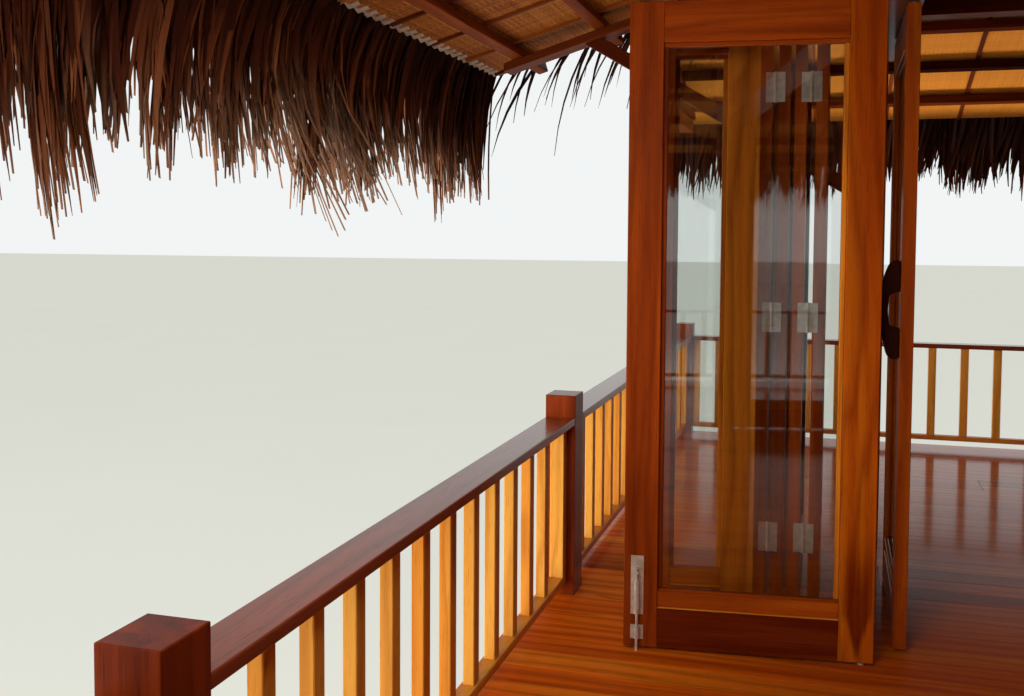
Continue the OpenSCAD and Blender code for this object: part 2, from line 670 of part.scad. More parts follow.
function land_pos(i) = [room_x, (i + 0.5 - long_leaves / 2) * (leaf_w + leaf_gap), 90];
module place_leaf(p) translate([p[0], p[1], leaf_end_gap]) rotate([0, 0, p[2]]) children();
module stack_row(kind) {
  place_leaf(second_leaf_pos) leaf_piece(kind, long_leaf_h);
  for (i = [0 : fan_count - 1]) place_leaf(fan_pos(i)) leaf_piece(kind, long_leaf_h);
}
module far_row(kind) for (i = [0 : short_leaves - 1]) place_leaf(far_pos(i)) leaf_piece(kind, short_leaf_h);
module near_row(kind) for (i = [0 : short_leaves - 1]) place_leaf(near_pos(i)) leaf_piece(kind, short_leaf_h);
module land_row(kind) for (i = [0 : long_leaves - 1]) place_leaf(land_pos(i)) leaf_piece(kind, long_leaf_h);

module bolt_leaf() color(teak_orange) above_floor() place_leaf(bolt_leaf_pos) leaf_frame(long_leaf_h);
module handle_leaf() color(teak_red) above_floor() place_leaf(handle_leaf_pos) leaf_frame(long_leaf_h);
module stacked_leaves() color(teak_orange) above_floor() stack_row("frame");
module far_leaves() color(teak_orange) above_floor() far_row("frame");
module closed_leaves() color(teak_orange) above_floor() {
  near_row("frame");
  land_row("frame");
}
module door_panes() color(glass_tint) above_floor() {
  place_leaf(bolt_leaf_pos) leaf_pane(long_leaf_h);
  place_leaf(handle_leaf_pos) leaf_pane(long_leaf_h);
  stack_row("pane");
  far_row("pane");
  near_row("pane");
  land_row("pane");
}

// Pins between the leaves and the floor, and between the leaves and the head over them
turned_pin_x = -room_x - post_w / 4;
module pin_pair(x, y, h) for (z = [0, h + leaf_end_gap])
  translate([x, y, z]) cylinder(h = leaf_end_gap, d = pin_d);
module leaf_pins() color(steel_grey) above_floor() {
  for (p = [bolt_leaf_pos, second_leaf_pos])
    pin_pair(turned_pin_x, p[1] + (turned_pin_x - p[0]) * tan(p[2]), long_leaf_h);
  for (s = [-1, 1])
    pin_pair(handle_leaf_pos[0], handle_leaf_pos[1] + s * (leaf_w / 2 - stile_w / 2), long_leaf_h);
  for (i = [0 : fan_count - 1]) pin_pair(-track_x, fan_pos(i)[1], long_leaf_h);
  for (i = [0 : short_leaves - 1]) pin_pair(far_pos(i)[0], room_y, short_leaf_h);
  for (i = [0 : short_leaves - 1], s = [-1, 1])
    pin_pair(near_pos(i)[0] + s * (leaf_w / 2 - stile_w / 2), -room_y, short_leaf_h);
  for (i = [0 : long_leaves - 1], s = [-1, 1])
    pin_pair(room_x, land_pos(i)[1] + s * (leaf_w / 2 - stile_w / 2), long_leaf_h);
}

// Tower bolt on the free stile of the bolt leaf, its rod shot down to the floor
module tower_bolt() color(steel_grey) above_floor()
  translate([bolt_leaf_x, bolt_leaf_y, 0]) rotate([0, 0, bolt_leaf_turn])
  translate([-leaf_w / 2 + bolt_edge, -leaf_t / 2, 0]) {
    translate([-bolt_w / 2, -bolt_plate_t, bolt_plate_z])
      cube([bolt_w, bolt_plate_t, bolt_top - bolt_plate_z]);
    translate([-bolt_w / 2, -bolt_plate_t, keeper_z]) cube([bolt_w, bolt_plate_t, keeper_h]);
    translate([0, barrel_y, bolt_plate_z + keeper_rim]) cylinder(h = barrel_len, d = barrel_d);
    translate([0, barrel_y, keeper_z + keeper_rim]) cylinder(h = keeper_h - 2 * keeper_rim, d = barrel_d);
    translate([0, barrel_y, 0]) cylinder(h = bolt_rod_top, d = bolt_rod_d);
    translate([0, barrel_y, bolt_knob_z]) rotate([90, 0, 0]) cylinder(h = bolt_knob_len, d = bolt_knob_d);
    translate([-bolt_w / 2, -bolt_lip_out, bolt_lip_z]) cube([bolt_w, bolt_lip_out, bolt_lip_h]);
  }

// Carved timber pull on the handle leaf, a bow with a finger gap
module pull_handle() color(teak_dark) above_floor()
  translate([handle_leaf_pos[0] - leaf_t / 2, handle_leaf_pos[1] - leaf_w / 2 + pull_edge, pull_z])
    along_y(-pull_t / 2, pull_t / 2) mirror([1, 0]) difference() {
      hull() for (z = [pull_end_r, pull_len - pull_end_r]) {
        translate([pull_end_r, z]) circle(pull_end_r);
        translate([0, z - pull_end_r]) square([pull_end_r, 2 * pull_end_r]);
        translate([pull_out - pull_bow_r, pull_len / 2 + sign(z - pull_len / 2) * pull_flat / 2])
          circle(pull_bow_r);
      }
      hull() {
        translate([-pull_gap_r, (pull_len - pull_gap_h) / 2]) square([pull_gap_r, pull_gap_h]);
        for (s = [-1, 1])
          translate([pull_gap - pull_gap_r, pull_len / 2 + s * (pull_gap_h / 2 - pull_gap_r)])
            circle(pull_gap_r);
      }
    }

stilts();
stilt_braces();
bearers();
joists();
edge_boards();
deck_floor();
newels();
handrails();
river_railing();
land_railing();
far_railing();
near_railing();
room_posts();
door_heads();
transom_studs();
transom_panels();
wall_plates();
tie_beams();
gable_panels();
king_posts();
ridge_beam();
main_rafters();
knee_braces();
main_purlins();
main_thatch();
ridge_cap();
terrace_posts();
terrace_level_beams();
terrace_head_beams();
terrace_rafters();
terrace_purlins();
terrace_thatch();
ceiling_battens();
woven_ceilings();
palm_fringes();
bolt_leaf();
handle_leaf();
stacked_leaves();
far_leaves();
closed_leaves();
door_panes();
leaf_pins();
tower_bolt();
pull_handle();
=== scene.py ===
import bpy
import math
import numpy as np
from mathutils import Matrix, Vector


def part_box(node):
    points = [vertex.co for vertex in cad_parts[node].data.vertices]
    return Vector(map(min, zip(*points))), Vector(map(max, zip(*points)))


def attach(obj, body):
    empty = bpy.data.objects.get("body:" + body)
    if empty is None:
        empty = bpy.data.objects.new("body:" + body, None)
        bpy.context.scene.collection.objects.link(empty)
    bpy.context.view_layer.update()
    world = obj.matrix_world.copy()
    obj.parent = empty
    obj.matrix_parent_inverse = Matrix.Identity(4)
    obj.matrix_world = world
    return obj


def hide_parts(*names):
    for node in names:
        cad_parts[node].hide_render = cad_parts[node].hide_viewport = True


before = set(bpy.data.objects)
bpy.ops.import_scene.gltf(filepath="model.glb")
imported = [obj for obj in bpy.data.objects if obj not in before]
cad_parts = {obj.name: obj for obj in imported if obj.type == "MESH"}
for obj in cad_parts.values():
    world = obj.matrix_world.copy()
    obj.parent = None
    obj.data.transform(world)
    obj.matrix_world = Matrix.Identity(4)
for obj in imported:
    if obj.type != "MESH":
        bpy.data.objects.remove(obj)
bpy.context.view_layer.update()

# Camera
# The picture is taken from the outer walk, at eye height beside the open doors, looking along
# the railing to the far end of the deck, with a normal lens tilted a little down.
eye = Vector((-2.4755, -2.06, 3.0))
to_left, tilt, roll = math.radians(16.72), math.radians(2.88), math.radians(0.34)
level = Vector((-math.sin(to_left), math.cos(to_left), 0))
ahead = level * math.cos(tilt) - Vector((0, 0, math.sin(tilt)))
above = level * math.sin(tilt) + Vector((0, 0, math.cos(tilt)))
beside = Vector((math.cos(to_left), math.sin(to_left), 0))
right = beside * math.cos(roll) + above * math.sin(roll)
upward = above * math.cos(roll) - beside * math.sin(roll)
bpy.ops.object.camera_add()
camera = bpy.context.object
camera.name = "river_walk_camera"
turned_to_view = Matrix((right, upward, -ahead)).transposed().to_4x4()
camera.matrix_world = Matrix.Translation(eye) @ turned_to_view
camera.data.sensor_width = 36
camera.data.lens = 37.65
camera.data.shift_y = -0.0582
camera.data.clip_end = 400
bpy.context.scene.camera = camera

# Studio
# A plain pale floor under the stilts, an even pale surround, and five soft lamps: a broad one out
# over the open side, a small one under the eave beside the camera, two low ones that light the
# roofs from below, and one high up. Floor and surround show paler than they light the house.
bpy.context.scene.view_settings.view_transform = "Standard"


class Shade:
    """One socket of a node tree. Arithmetic on it adds Math nodes."""

    def __init__(self, tree, socket=None):
        self.tree, self.socket = tree, socket

    def node(self, kind, settings, sockets, output=0):
        """Any node: its type, its settings, and the values or links of its sockets."""
        made = self.tree.nodes.new(kind)
        for name, value in settings.items():
            if name == "stops":
                while len(made.color_ramp.elements) < len(value):
                    made.color_ramp.elements.new(1.0)
                for element, (place, colour) in zip(made.color_ramp.elements, value):
                    element.position, element.color = place, (*colour, 1)
            else:
                setattr(made, name, value)
        for name, value in sockets.items():
            if isinstance(value, Shade):
                self.tree.links.new(value.socket, made.inputs[name])
            else:
                made.inputs[name].default_value = value
        return Shade(self.tree, made.outputs[output] if made.outputs else None)

    def maths(self, operation, *values):
        return self.node("ShaderNodeMath", {"operation": operation}, dict(enumerate(values)))

    def __add__(self, other):
        return self.maths("ADD", self, other)

    def __radd__(self, other):
        return self.maths("ADD", other, self)

    def __sub__(self, other):
        return self.maths("SUBTRACT", self, other)

    def __rsub__(self, other):
        return self.maths("SUBTRACT", other, self)

    def __mul__(self, other):
        return self.maths("MULTIPLY", self, other)

    def __rmul__(self, other):
        return self.maths("MULTIPLY", other, self)

    def __pow__(self, other):
        return self.maths("POWER", self, other)

    def clipped(self, low, high):
        """0 below low, 1 above high, and a smooth rise between."""
        return self.node("ShaderNodeMapRange", {"interpolation_type": "SMOOTHSTEP"},
                         {"Value": self, "From Min": low, "From Max": high})

    def mixed(self, other, share, way="MIX"):
        """This colour turned into the other by the share."""
        return self.node("ShaderNodeMix", {"data_type": "RGBA", "blend_type": way},
                         {0: share, 6: self, 7: other}, 2)

    def darkened(self, other, share):
        """This colour multiplied with the other by the share."""
        return self.mixed(other, share, "MULTIPLY")

    def covered(self, other, share):
        """This shader turned into the other by the share."""
        return self.node("ShaderNodeMixShader", {}, {0: share, 1: self, 2: other})

    def tinted(self, *stops):
        """The colours of a ramp, read off by this number."""
        return self.node("ShaderNodeValToRGB", {"stops": stops}, {"Fac": self})

    def raised(self, strength, distance):
        """The bumps that this height gives a surface."""
        return self.node("ShaderNodeBump", {}, {
            "Strength": strength, "Distance": distance, "Height": self})

    def stretched(self, *by):
        return self.node("ShaderNodeVectorMath", {"operation": "MULTIPLY"}, {0: self, 1: by})

    def noise(self, scale, detail=3.0, rough=0.5, warp=0.0):
        return self.node("ShaderNodeTexNoise", {}, {
            "Vector": self, "Scale": scale, "Detail": detail, "Roughness": rough,
            "Distortion": warp}, "Fac")

    def split(self):
        """The three numbers of a vector or colour."""
        apart = self.node("ShaderNodeSeparateXYZ", {}, {0: self}).socket.node
        return [Shade(self.tree, socket) for socket in apart.outputs]

    def place(self, kind="Object"):
        """Where a point of the piece lies."""
        return self.node("ShaderNodeTexCoord", {}, {}, kind)

    def carried(self, name, output):
        """What the piece carries under a name at its points."""
        return self.node("ShaderNodeAttribute", {"attribute_name": name}, {}, output)

    def ray(self, kind):
        return self.node("ShaderNodeLightPath", {}, {}, "Is " + kind + " Ray")

    def seen(self):
        """1 for what shows straight or through glass, 0 for what lights or is mirrored."""
        return self.maths("MAXIMUM", self.ray("Camera"), self.ray("Transmission"))


def new_finish(name):
    """A material, its shader, and a start for its nodes."""
    material = bpy.data.materials.new(name)
    material.use_nodes = True
    tree = material.node_tree
    return material, tree.nodes["Principled BSDF"], Shade(tree)


def fed(shader, **links):
    """Feeds a shader's sockets, a Shade by a link and a number or colour on the socket itself."""
    for name, value in links.items():
        socket = shader.inputs[name.replace("_", " ")]
        if isinstance(value, Shade):
            value.tree.links.new(value.socket, socket)
        else:
            socket.default_value = value


def surround(start, colour, strength):
    return start.node("ShaderNodeBackground", {}, {"Color": (*colour, 1), "Strength": strength})


world = bpy.data.worlds.new("pale_surround")
bpy.context.scene.world = world
world.use_nodes = True
world.node_tree.nodes.clear()
sky = Shade(world.node_tree)
to_land = sky.place("Generated").split()[0].clipped(-0.7, 0.7)
soft = surround(sky, (0.95, 0.97, 1.0), 0.50 - to_land * 0.24)
mirrored = surround(sky, (0.92, 0.91, 0.89), 0.78)
shown = surround(sky, (0.89, 0.91, 0.91), 1.0)
whole = soft.covered(mirrored, sky.ray("Glossy")).covered(shown, sky.seen())
sky.node("ShaderNodeOutputWorld", {}, {"Surface": whole})

bpy.ops.object.select_all(action="DESELECT")
bpy.ops.mesh.primitive_plane_add(size=240)
stage_floor = bpy.context.object
stage_floor.name = "stage_floor"
material, shader, start = new_finish("pale_floor")
cloud = start.place().noise(0.4, 2.0)
fed(shader, Base_Color=cloud.tinted((0.3, (0.72, 0.73, 0.69)), (0.7, (0.77, 0.78, 0.74))),
    Roughness=0.85)
pale = start.node("ShaderNodeEmission", {}, {"Color": (0.90, 0.91, 0.80, 1), "Strength": 1.0})
floor_look = Shade(start.tree, shader.outputs[0]).covered(pale, start.seen() * 0.62)
start.tree.links.new(floor_look.socket, start.tree.nodes["Material Output"].inputs["Surface"])
stage_floor.data.materials.append(material)


def soft_lamp(name, at, towards, size, power, colour):
    """A soft square lamp that neither shows nor glints."""
    bpy.ops.object.light_add(type="AREA", location=at)
    lamp = bpy.context.object
    lamp.name = name
    lamp.rotation_euler = (Vector(towards) - Vector(at)).to_track_quat("-Z", "Y").to_euler()
    lamp.data.shape = "RECTANGLE"
    lamp.data.size, lamp.data.size_y = size
    lamp.data.energy = power
    lamp.data.color = colour
    lamp.visible_camera = False
    lamp.visible_glossy = False


soft_lamp("river_lamp", (-14.5, -18.0, 5.0), (-2.9, 0.5, 2.9), (14.0, 6.4), 3400, (1.0, 0.96, 0.91))
soft_lamp("walk_lamp", (-2.95, -0.95, 3.55), (-2.85, 1.4, 2.1), (0.9, 0.5), 19, (1.0, 0.90, 0.78))
soft_lamp("low_lamp", (-4.7, 0.5, 0.5), (-3.3, 0.5, 4.2), (1.6, 11.0), 260, (1.0, 0.90, 0.78))
soft_lamp("far_lamp", (-0.5, 6.7, 0.5), (-0.3, 4.7, 4.2), (7.0, 0.8), 230, (1.0, 0.88, 0.74))
soft_lamp("top_lamp", (-6.0, -5.0, 14.0), (0, 0, 3), (9.0, 9.0), 900, (1.0, 0.98, 0.95))

# Stilts
# Round hardwood logs with the bark off, driven in on a grid and sawn off level under the
# bearers. They are grey and checked where they dry, and dark where they stand wet.
dice = np.random.default_rng(11)


def joined(name, model, places):
    """One mesh of many copies of a model, whose points are given as an array for each copy."""
    count, points = len(places), len(model.vertices)
    corners = np.empty(len(model.loops), np.int32)
    model.loops.foreach_get("vertex_index", corners)
    starts = np.empty(len(model.polygons), np.int32)
    model.polygons.foreach_get("loop_start", starts)
    copy = np.arange(count)[:, None]
    corners, starts = corners + points * copy, starts + len(corners) * copy
    mesh = bpy.data.meshes.new(name)
    mesh.vertices.add(count * points)
    mesh.vertices.foreach_set("co", np.asarray(places, np.float32).ravel())
    mesh.loops.add(corners.size)
    mesh.loops.foreach_set("vertex_index", corners.ravel().astype(np.int32))
    mesh.polygons.add(starts.size)
    mesh.polygons.foreach_set("loop_start", starts.ravel().astype(np.int32))
    mesh.update(calc_edges=True)
    piece = bpy.data.objects.new(name, mesh)
    bpy.context.scene.collection.objects.link(piece)
    return piece


def marked(piece, grain, tone):
    """Writes the grain's own coordinates, its length first, and a tone on a piece's points."""
    for name, kind, field, values in (("grain", "FLOAT_VECTOR", "vector", grain),
                                      ("tone", "FLOAT", "value", tone)):
        layer = piece.data.attributes.new(name, kind, "POINT")
        layer.data.foreach_set(field, np.asarray(values, np.float32).ravel())


def taken_up(piece):
    """Makes a piece the only one selected, and the active one."""
    bpy.ops.object.select_all(action="DESELECT")
    piece.select_set(True)
    bpy.context.view_layer.objects.active = piece


def begun(primitive, **settings):
    """A new primitive, with nothing else selected."""
    bpy.ops.object.select_all(action="DESELECT")
    primitive(**settings)
    return bpy.context.object


def closed_up():
    """Turns all faces of the mesh in edit mode outwards, and leaves edit mode."""
    bpy.ops.mesh.select_all(action="SELECT")
    bpy.ops.mesh.normals_make_consistent(inside=False)
    bpy.ops.object.mode_set(mode="OBJECT")


def points_of(piece):
    return np.array([point.co for point in piece.data.vertices])


def handed_in(piece, material, slot, *nodes, smooth=None):
    """Gives a piece its finish, and hides the nodes of the frame that it stands for."""
    piece.data.materials.clear()
    piece.data.materials.append(material)
    if smooth is not None:
        taken_up(piece)
        bpy.ops.object.shade_smooth_by_angle(angle=math.radians(smooth))
    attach(piece, "root")
    if nodes:
        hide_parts(*nodes)


stilt_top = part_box("stilts")[1].z
log_radius, log_lengths, log_taper = 0.112, 12, 0.985
row_y, file_x = (-4.91, -2.7195, 0, 2.7195, 4.91), (-3.305, -1.10167, 1.10167, 3.305)
log = begun(bpy.ops.mesh.primitive_circle_add, vertices=20, radius=log_radius, fill_type="NGON")
bpy.ops.object.mode_set(mode="EDIT")
bpy.ops.mesh.select_mode(type="FACE")
bpy.ops.mesh.select_all(action="SELECT")
for rise in range(log_lengths):
    crook = (0.004 * math.sin(rise * 1.9), 0.004 * math.cos(rise * 2.3), stilt_top / log_lengths)
    bpy.ops.mesh.extrude_region_move(TRANSFORM_OT_translate={"value": crook})
    bpy.ops.transform.resize(value=(log_taper, log_taper, 1))
closed_up()
log_shape = points_of(log)
logs, grains, tones = [], [], []
for y in row_y:
    for x in file_x:
        spin = dice.uniform(0, 2 * math.pi)
        turned = log_shape @ np.array(Matrix.Rotation(spin, 3, "Z"))
        around = np.arctan2(turned[:, 1], turned[:, 0])
        swell = 1 + 0.035 * np.sin(3 * around + 4 * turned[:, 2] + spin)
        turned[:, :2] *= swell[:, None]
        logs.append(turned + (x, y, 0))
        grains.append(turned[:, [2, 0, 1]] + dice.uniform(-9, 9, 3))
        tones.append(np.full(len(turned), dice.random()))
stilts = joined("stilt_logs", log.data, logs)
marked(stilts, grains, tones)
bpy.data.objects.remove(log)

material, shader, start = new_finish("river_log")
grain, tone = start.carried("grain", "Vector"), start.carried("tone", "Fac")
height = start.place().split()[2]
streak = grain.stretched(1.1, 26, 26).noise(1.0, 6, 0.62, 0.5)
check = grain.stretched(2.2, 60, 60).noise(1.0, 3, 0.5, 0.2).clipped(0.66, 0.72)
wet = 1 - (height + 0.25 * grain.stretched(3, 9, 9).noise(1.0, 3)).clipped(0.42, 0.78)
colour = (streak * 0.8 + tone * 0.22).tinted(
    (0.25, (0.07, 0.05, 0.035)), (0.5, (0.20, 0.15, 0.11)), (0.78, (0.36, 0.30, 0.24)))
colour = colour.darkened((0.22, 0.17, 0.13, 1), check)
colour = colour.darkened((0.30, 0.33, 0.24, 1), wet * 0.85)
fed(shader, Base_Color=colour, Roughness=0.85 - wet * 0.35,
    Normal=(streak - check * 0.8).raised(0.7, 0.004))
handed_in(stilts, material, "stilt_timber", "stilts", smooth=50)

# Cross braces, bearers and joists
# Sawn hardwood: brace boards housed and bolted to the outer stilts, bearers spiked on to each
# row, joists across them. All are rough sawn, oiled once, and left to the weather.


def timber_finish(name, deep, warm, pale, lean=0.0, gloss=0.34, coat=0.35, figure=1.0,
                  knots=0.72, dull=0.0, shine=0.10, relief=1.0, film=0.14,
                  sheen=(0.62, 0.95), heartwood_and_shade=None):
    """Timber with growth bands along it, dark pores and a few knots, in three colours.

    Lean shifts it to the pale side, sheen is the range of slant over which the varnish shines,
    and the last one gives a share of the deep colour: dark heartwood on the golden stile, and
    painted shade inside the room on the floor boards."""
    material, shader, start = new_finish(name)
    grain, tone = start.carried("grain", "Vector"), start.carried("tone", "Fac")
    spots = grain.stretched(1.5, 7.5, 7.5)
    knot_at, knot_of = (
        start.node("ShaderNodeTexVoronoi", {"feature": "F1"},
                   {"Vector": spots, "Scale": 1.0, "Randomness": 1.0}, side)
        for side in ("Distance", "Color"))
    chosen = knot_of.split()[0].clipped(knots, knots + 0.02)
    near_knot = (1 - knot_at.clipped(0.02, 0.34)) * chosen
    knot = (1 - knot_at.clipped(0.035, 0.10)) * chosen
    wander = grain.stretched(0.8, 3.0, 3.0).noise(1.0, 2, 0.5)
    broad = grain.stretched(0.55, 13, 13).noise(1.0, 3, 0.55, 0.9)
    along, across, through = grain.split()
    phase = across * 95 + through * 60 + wander * 22 * figure + near_knot * 7 + broad * 7
    band = start.maths("SINE", phase) * 0.5 + 0.5
    fibre = grain.stretched(5, 230, 230).noise(1.0, 3, 0.6)
    pores = grain.stretched(16, 520, 520).noise(1.0, 1, 0.5).clipped(0.60, 0.72)
    share = broad * 0.62 + tone * 0.62 + (fibre - 0.5) * 0.16 + (lean - 0.12)
    shadow = tuple(part * 0.45 for part in deep)
    black = tuple(part * 0.4 for part in shadow)
    colour = share.tinted((0.18, deep), (0.5, warm), (0.88, pale))
    colour = colour.mixed((*deep, 1), (band ** 3) * 0.38)
    colour = colour.mixed((*shadow, 1), pores * 0.38)
    colour = colour.mixed((*shadow, 1), near_knot ** 2 * 0.45)
    colour = colour.mixed((*black, 1), knot * 0.85)
    # The deep colour mixed in here is dark heartwood on the golden stile and painted shade inside
    # the room on the floor boards.
    if heartwood_and_shade is not None:
        colour = colour.mixed((*deep, 1), heartwood_and_shade(start, broad))
    slant = start.node("ShaderNodeLayerWeight", {}, {"Blend": 0.5}, "Facing").clipped(*sheen)
    fed(shader, Base_Color=colour, Roughness=gloss + broad * 0.10 + pores * 0.14 + dull * fibre,
        Normal=((fibre - pores * 0.7) - band * 0.25).raised(0.3, 0.0002 * relief),
        Coat_Weight=slant * coat, Coat_Roughness=film, Specular_IOR_Level=shine)
    return material


def rounded(piece, width, angle):
    """Rounds the edges of the active piece that turn by more than the angle."""
    edge = piece.modifiers.new("arrises", "BEVEL")
    edge.width, edge.segments = width, 2
    edge.limit_method, edge.angle_limit = "ANGLE", math.radians(angle)
    bpy.ops.object.modifier_apply(modifier=edge.name)


def from_frame(node, name, edge, tone=(0.0, 1.0)):
    """A copy of a node's timbers with rounded arrises, each with its grain along its length."""
    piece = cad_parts[node].copy()
    piece.data = piece.data.copy()
    piece.name = piece.data.name = name
    piece.parent = None
    for key in list(piece.keys()):
        del piece[key]
    bpy.context.scene.collection.objects.link(piece)
    piece.hide_viewport = piece.hide_render = False
    piece.hide_set(False)
    taken_up(piece)
    bpy.ops.object.mode_set(mode="EDIT")
    bpy.ops.mesh.select_all(action="SELECT")
    bpy.ops.mesh.remove_doubles(threshold=0.00005)
    bpy.ops.mesh.dissolve_limited(angle_limit=math.radians(1))
    closed_up()
    if edge:
        rounded(piece, edge, 20)
    mesh = piece.data
    for attribute in list(mesh.attributes):
        if attribute.name in ("grain", "tone"):
            mesh.attributes.remove(attribute)
    places = np.empty(len(mesh.vertices) * 3)
    mesh.vertices.foreach_get("co", places)
    places = places.reshape(-1, 3)
    edges = np.empty(len(mesh.edges) * 2, np.int64)
    mesh.edges.foreach_get("vertices", edges)
    # Each point takes the lowest number that an edge brings it, until all of a timber agree.
    start, end = edges[0::2], edges[1::2]
    label = np.arange(len(places))
    while True:
        low = np.minimum(label[start], label[end])
        fresh = label.copy()
        np.minimum.at(fresh, start, low)
        np.minimum.at(fresh, end, low)
        fresh = fresh[fresh]
        if (fresh == label).all():
            break
        label = fresh
    grain, tones = np.zeros_like(places), np.zeros(len(places))
    for timber in np.unique(label):
        own = label == timber
        middle = (places[own].min(0) + places[own].max(0)) / 2
        local = places[own] - middle
        turn = np.linalg.eigh(local.T @ local)[1][:, ::-1]
        grain[own] = local @ turn + dice.uniform(-9, 9, 3)
        tones[own] = dice.uniform(*tone)
    marked(piece, grain, tones)
    return piece


def refaced(node, name, finish, slot, edge=0.003, tone=(0.0, 1.0)):
    """Puts a node's own timbers, with rounded arrises and under a finish, in place of the node."""
    handed_in(from_frame(node, name, edge, tone), finish, slot, node)


sawn = timber_finish("sawn_hardwood", (0.06, 0.035, 0.022), (0.17, 0.105, 0.068),
                     (0.30, 0.21, 0.14), gloss=0.62, coat=0.0, dull=0.2, relief=6)
refaced("stilt_braces", "brace_boards", sawn, "stilt_timber", 0)
refaced("bearers", "bearer_beams", sawn, "dark_teak", 0.004)
refaced("joists", "floor_joists", sawn, "dark_teak")

# Floor
# Varnished teak boards across the house, nailed to the joists, butt jointed on them and edged
# with a fascia board. The boards were not sorted, so orange and nearly black ones lie together.
bar_arris = 0.0022
bar = begun(bpy.ops.mesh.primitive_cube_add, size=1)
bpy.ops.object.mode_set(mode="EDIT")
bpy.ops.mesh.bevel(offset=bar_arris, segments=1, affect="EDGES")
bpy.ops.object.mode_set(mode="OBJECT")
bar_shape = points_of(bar)
bar_corner = np.sign(bar_shape)
bar_inset = bar_corner * 0.5 - bar_shape
LIE_X = np.eye(3)


def timbers(name, pieces, arris=1.0):
    """A piece of bars: for each its middle, its length, width and thickness, its turn, its tone."""
    places, grains, tones = [], [], []
    for middle, size, turn, tone in pieces:
        local = bar_corner * np.array(size) / 2 - bar_inset * arris
        places.append(local @ np.asarray(turn).T + np.array(middle))
        grains.append(local + dice.uniform(-9, 9, 3))
        tones.append(np.full(len(local), tone))
    piece = joined(name, bar.data, places)
    marked(piece, grains, tones)
    taken_up(piece)
    bpy.ops.object.shade_flat()
    return piece


floor_low, floor_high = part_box("deck_floor")
deck_top, board_t = floor_high.z, floor_high.z - floor_low.z
board_rows, board_gap, end_gap, board_arris = 82, 0.0010, 0.0012, 0.35
joist_bays, joist_inset, dark_share, dark_tone = 12, 0.049, 0.10, 0.08
board_w = (floor_high.y - floor_low.y) / board_rows
joist_x = np.linspace(floor_low.x + joist_inset, floor_high.x - joist_inset, joist_bays + 1)
boards = []
for row in range(board_rows):
    y = floor_low.y + (row + 0.5) * board_w
    cuts, at = [], int(dice.integers(2, 7))
    while at < joist_bays - 1:
        cuts.append(joist_x[at])
        at += int(dice.integers(3, 7))
    cuts = [floor_low.x] + cuts + [floor_high.x]
    for x0, x1 in zip(cuts, cuts[1:]):
        dark = dice.random() < dark_share
        boards.append((((x0 + x1) / 2, y, deck_top - board_t / 2),
                       (x1 - x0 - end_gap, board_w - board_gap, board_t), LIE_X,
                       dark_tone if dark else 0.30 + 0.42 * dice.beta(1.4, 1.6)))


def in_shade(start, broad):
    """Painted shade: the boards are darkened inside the room, and left paler along the open side."""
    return (start.place().split()[0] + broad * 0.2).clipped(-3.0, -2.1) * 0.5


# The floor boards are darkened inside the room by painted shade, given by in_shade.
floor_teak = timber_finish("floor_teak", (0.20, 0.018, 0.0016), (0.80, 0.155, 0.006),
                           (0.95, 0.40, 0.030), lean=0.03, heartwood_and_shade=in_shade, gloss=0.45, coat=1.0,
                           shine=0.02, relief=0.25, film=0.12, sheen=(0.64, 0.85), figure=0.6)
handed_in(timbers("floor_boards", boards, board_arris), floor_teak, "floor_boards", "deck_floor")
edge_teak = timber_finish("edge_teak", (0.050, 0.009, 0.004), (0.19, 0.040, 0.012),
                          (0.36, 0.10, 0.03), gloss=0.36, coat=0.4)
refaced("edge_boards", "fascia_boards", edge_teak, "red_teak")

# Newels and handrails
# Square newels stand on the deck, and flat handrails are let in between them. Both are teak
# under several coats of varnish, the newels redder and the rails a dull purple brown.
near_y, far_y, first_tone = -0.753, 1.71, 0.32
newel_teak = timber_finish("newel_teak", (0.055, 0.006, 0.0018), (0.24, 0.034, 0.005),
                           (0.50, 0.12, 0.014), lean=-0.03, gloss=0.34, coat=0.7, knots=0.6)
newels = from_frame("newels", "newel_posts", 0.0025, (0.45, 0.7))
# The newel nearest the camera is darker than the rest.
for point, tone in zip(newels.data.vertices, newels.data.attributes["tone"].data):
    if point.co.x < -3 and abs(point.co.y - near_y) < 0.2:
        tone.value = first_tone
handed_in(newels, newel_teak, "red_teak", "newels")
rail_teak = timber_finish("rail_teak", (0.10, 0.017, 0.007), (0.23, 0.046, 0.018),
                          (0.36, 0.085, 0.032), lean=-0.02, gloss=0.34, coat=1.0, film=0.16,
                          sheen=(0.45, 0.88))
refaced("handrails", "hand_rails", rail_teak, "dark_teak", 0.003, (0.3, 0.7))

# Railings
# Under each handrail runs a low rail, with a flat stile against each newel and balusters of
# pale teak between, evenly spaced from the middle of the bay. Each was cut from another plank.
LIE_Y = np.array([[0, -1, 0], [1, 0, 0], [0, 0, 1.0]])
STAND = np.array([[0, 1, 0], [0, 0, 1.0], [1, 0, 0]])
low_z0, low_z1, rail_under = 1.746, 1.774, 2.318
stile_long, low_wide, baluster_wide, step = 0.045, 0.050, 0.032, 0.186
newel_x, newel_y, post_y, middle_x = 3.405, 5.01, 3.33, 1.1
newel_half, post_half = 0.0625, 0.055
quarters = [(-newel_y + post_half, -post_y - post_half), (-post_y + post_half, near_y - newel_half),
            (far_y + newel_half, post_y - post_half), (post_y + post_half, newel_y - post_half)]
walk = [(near_y + newel_half, far_y - newel_half)]
thirds = [(-newel_x + post_half, -middle_x - post_half),
          (-middle_x + post_half, middle_x - post_half),
          (middle_x + post_half, newel_x - post_half)]
honey_teak = timber_finish("baluster_teak", (0.38, 0.075, 0.006), (0.74, 0.27, 0.030),
                           (0.74, 0.37, 0.062), lean=0.04, gloss=0.36, coat=0.5, figure=0.7,
                           knots=0.6)
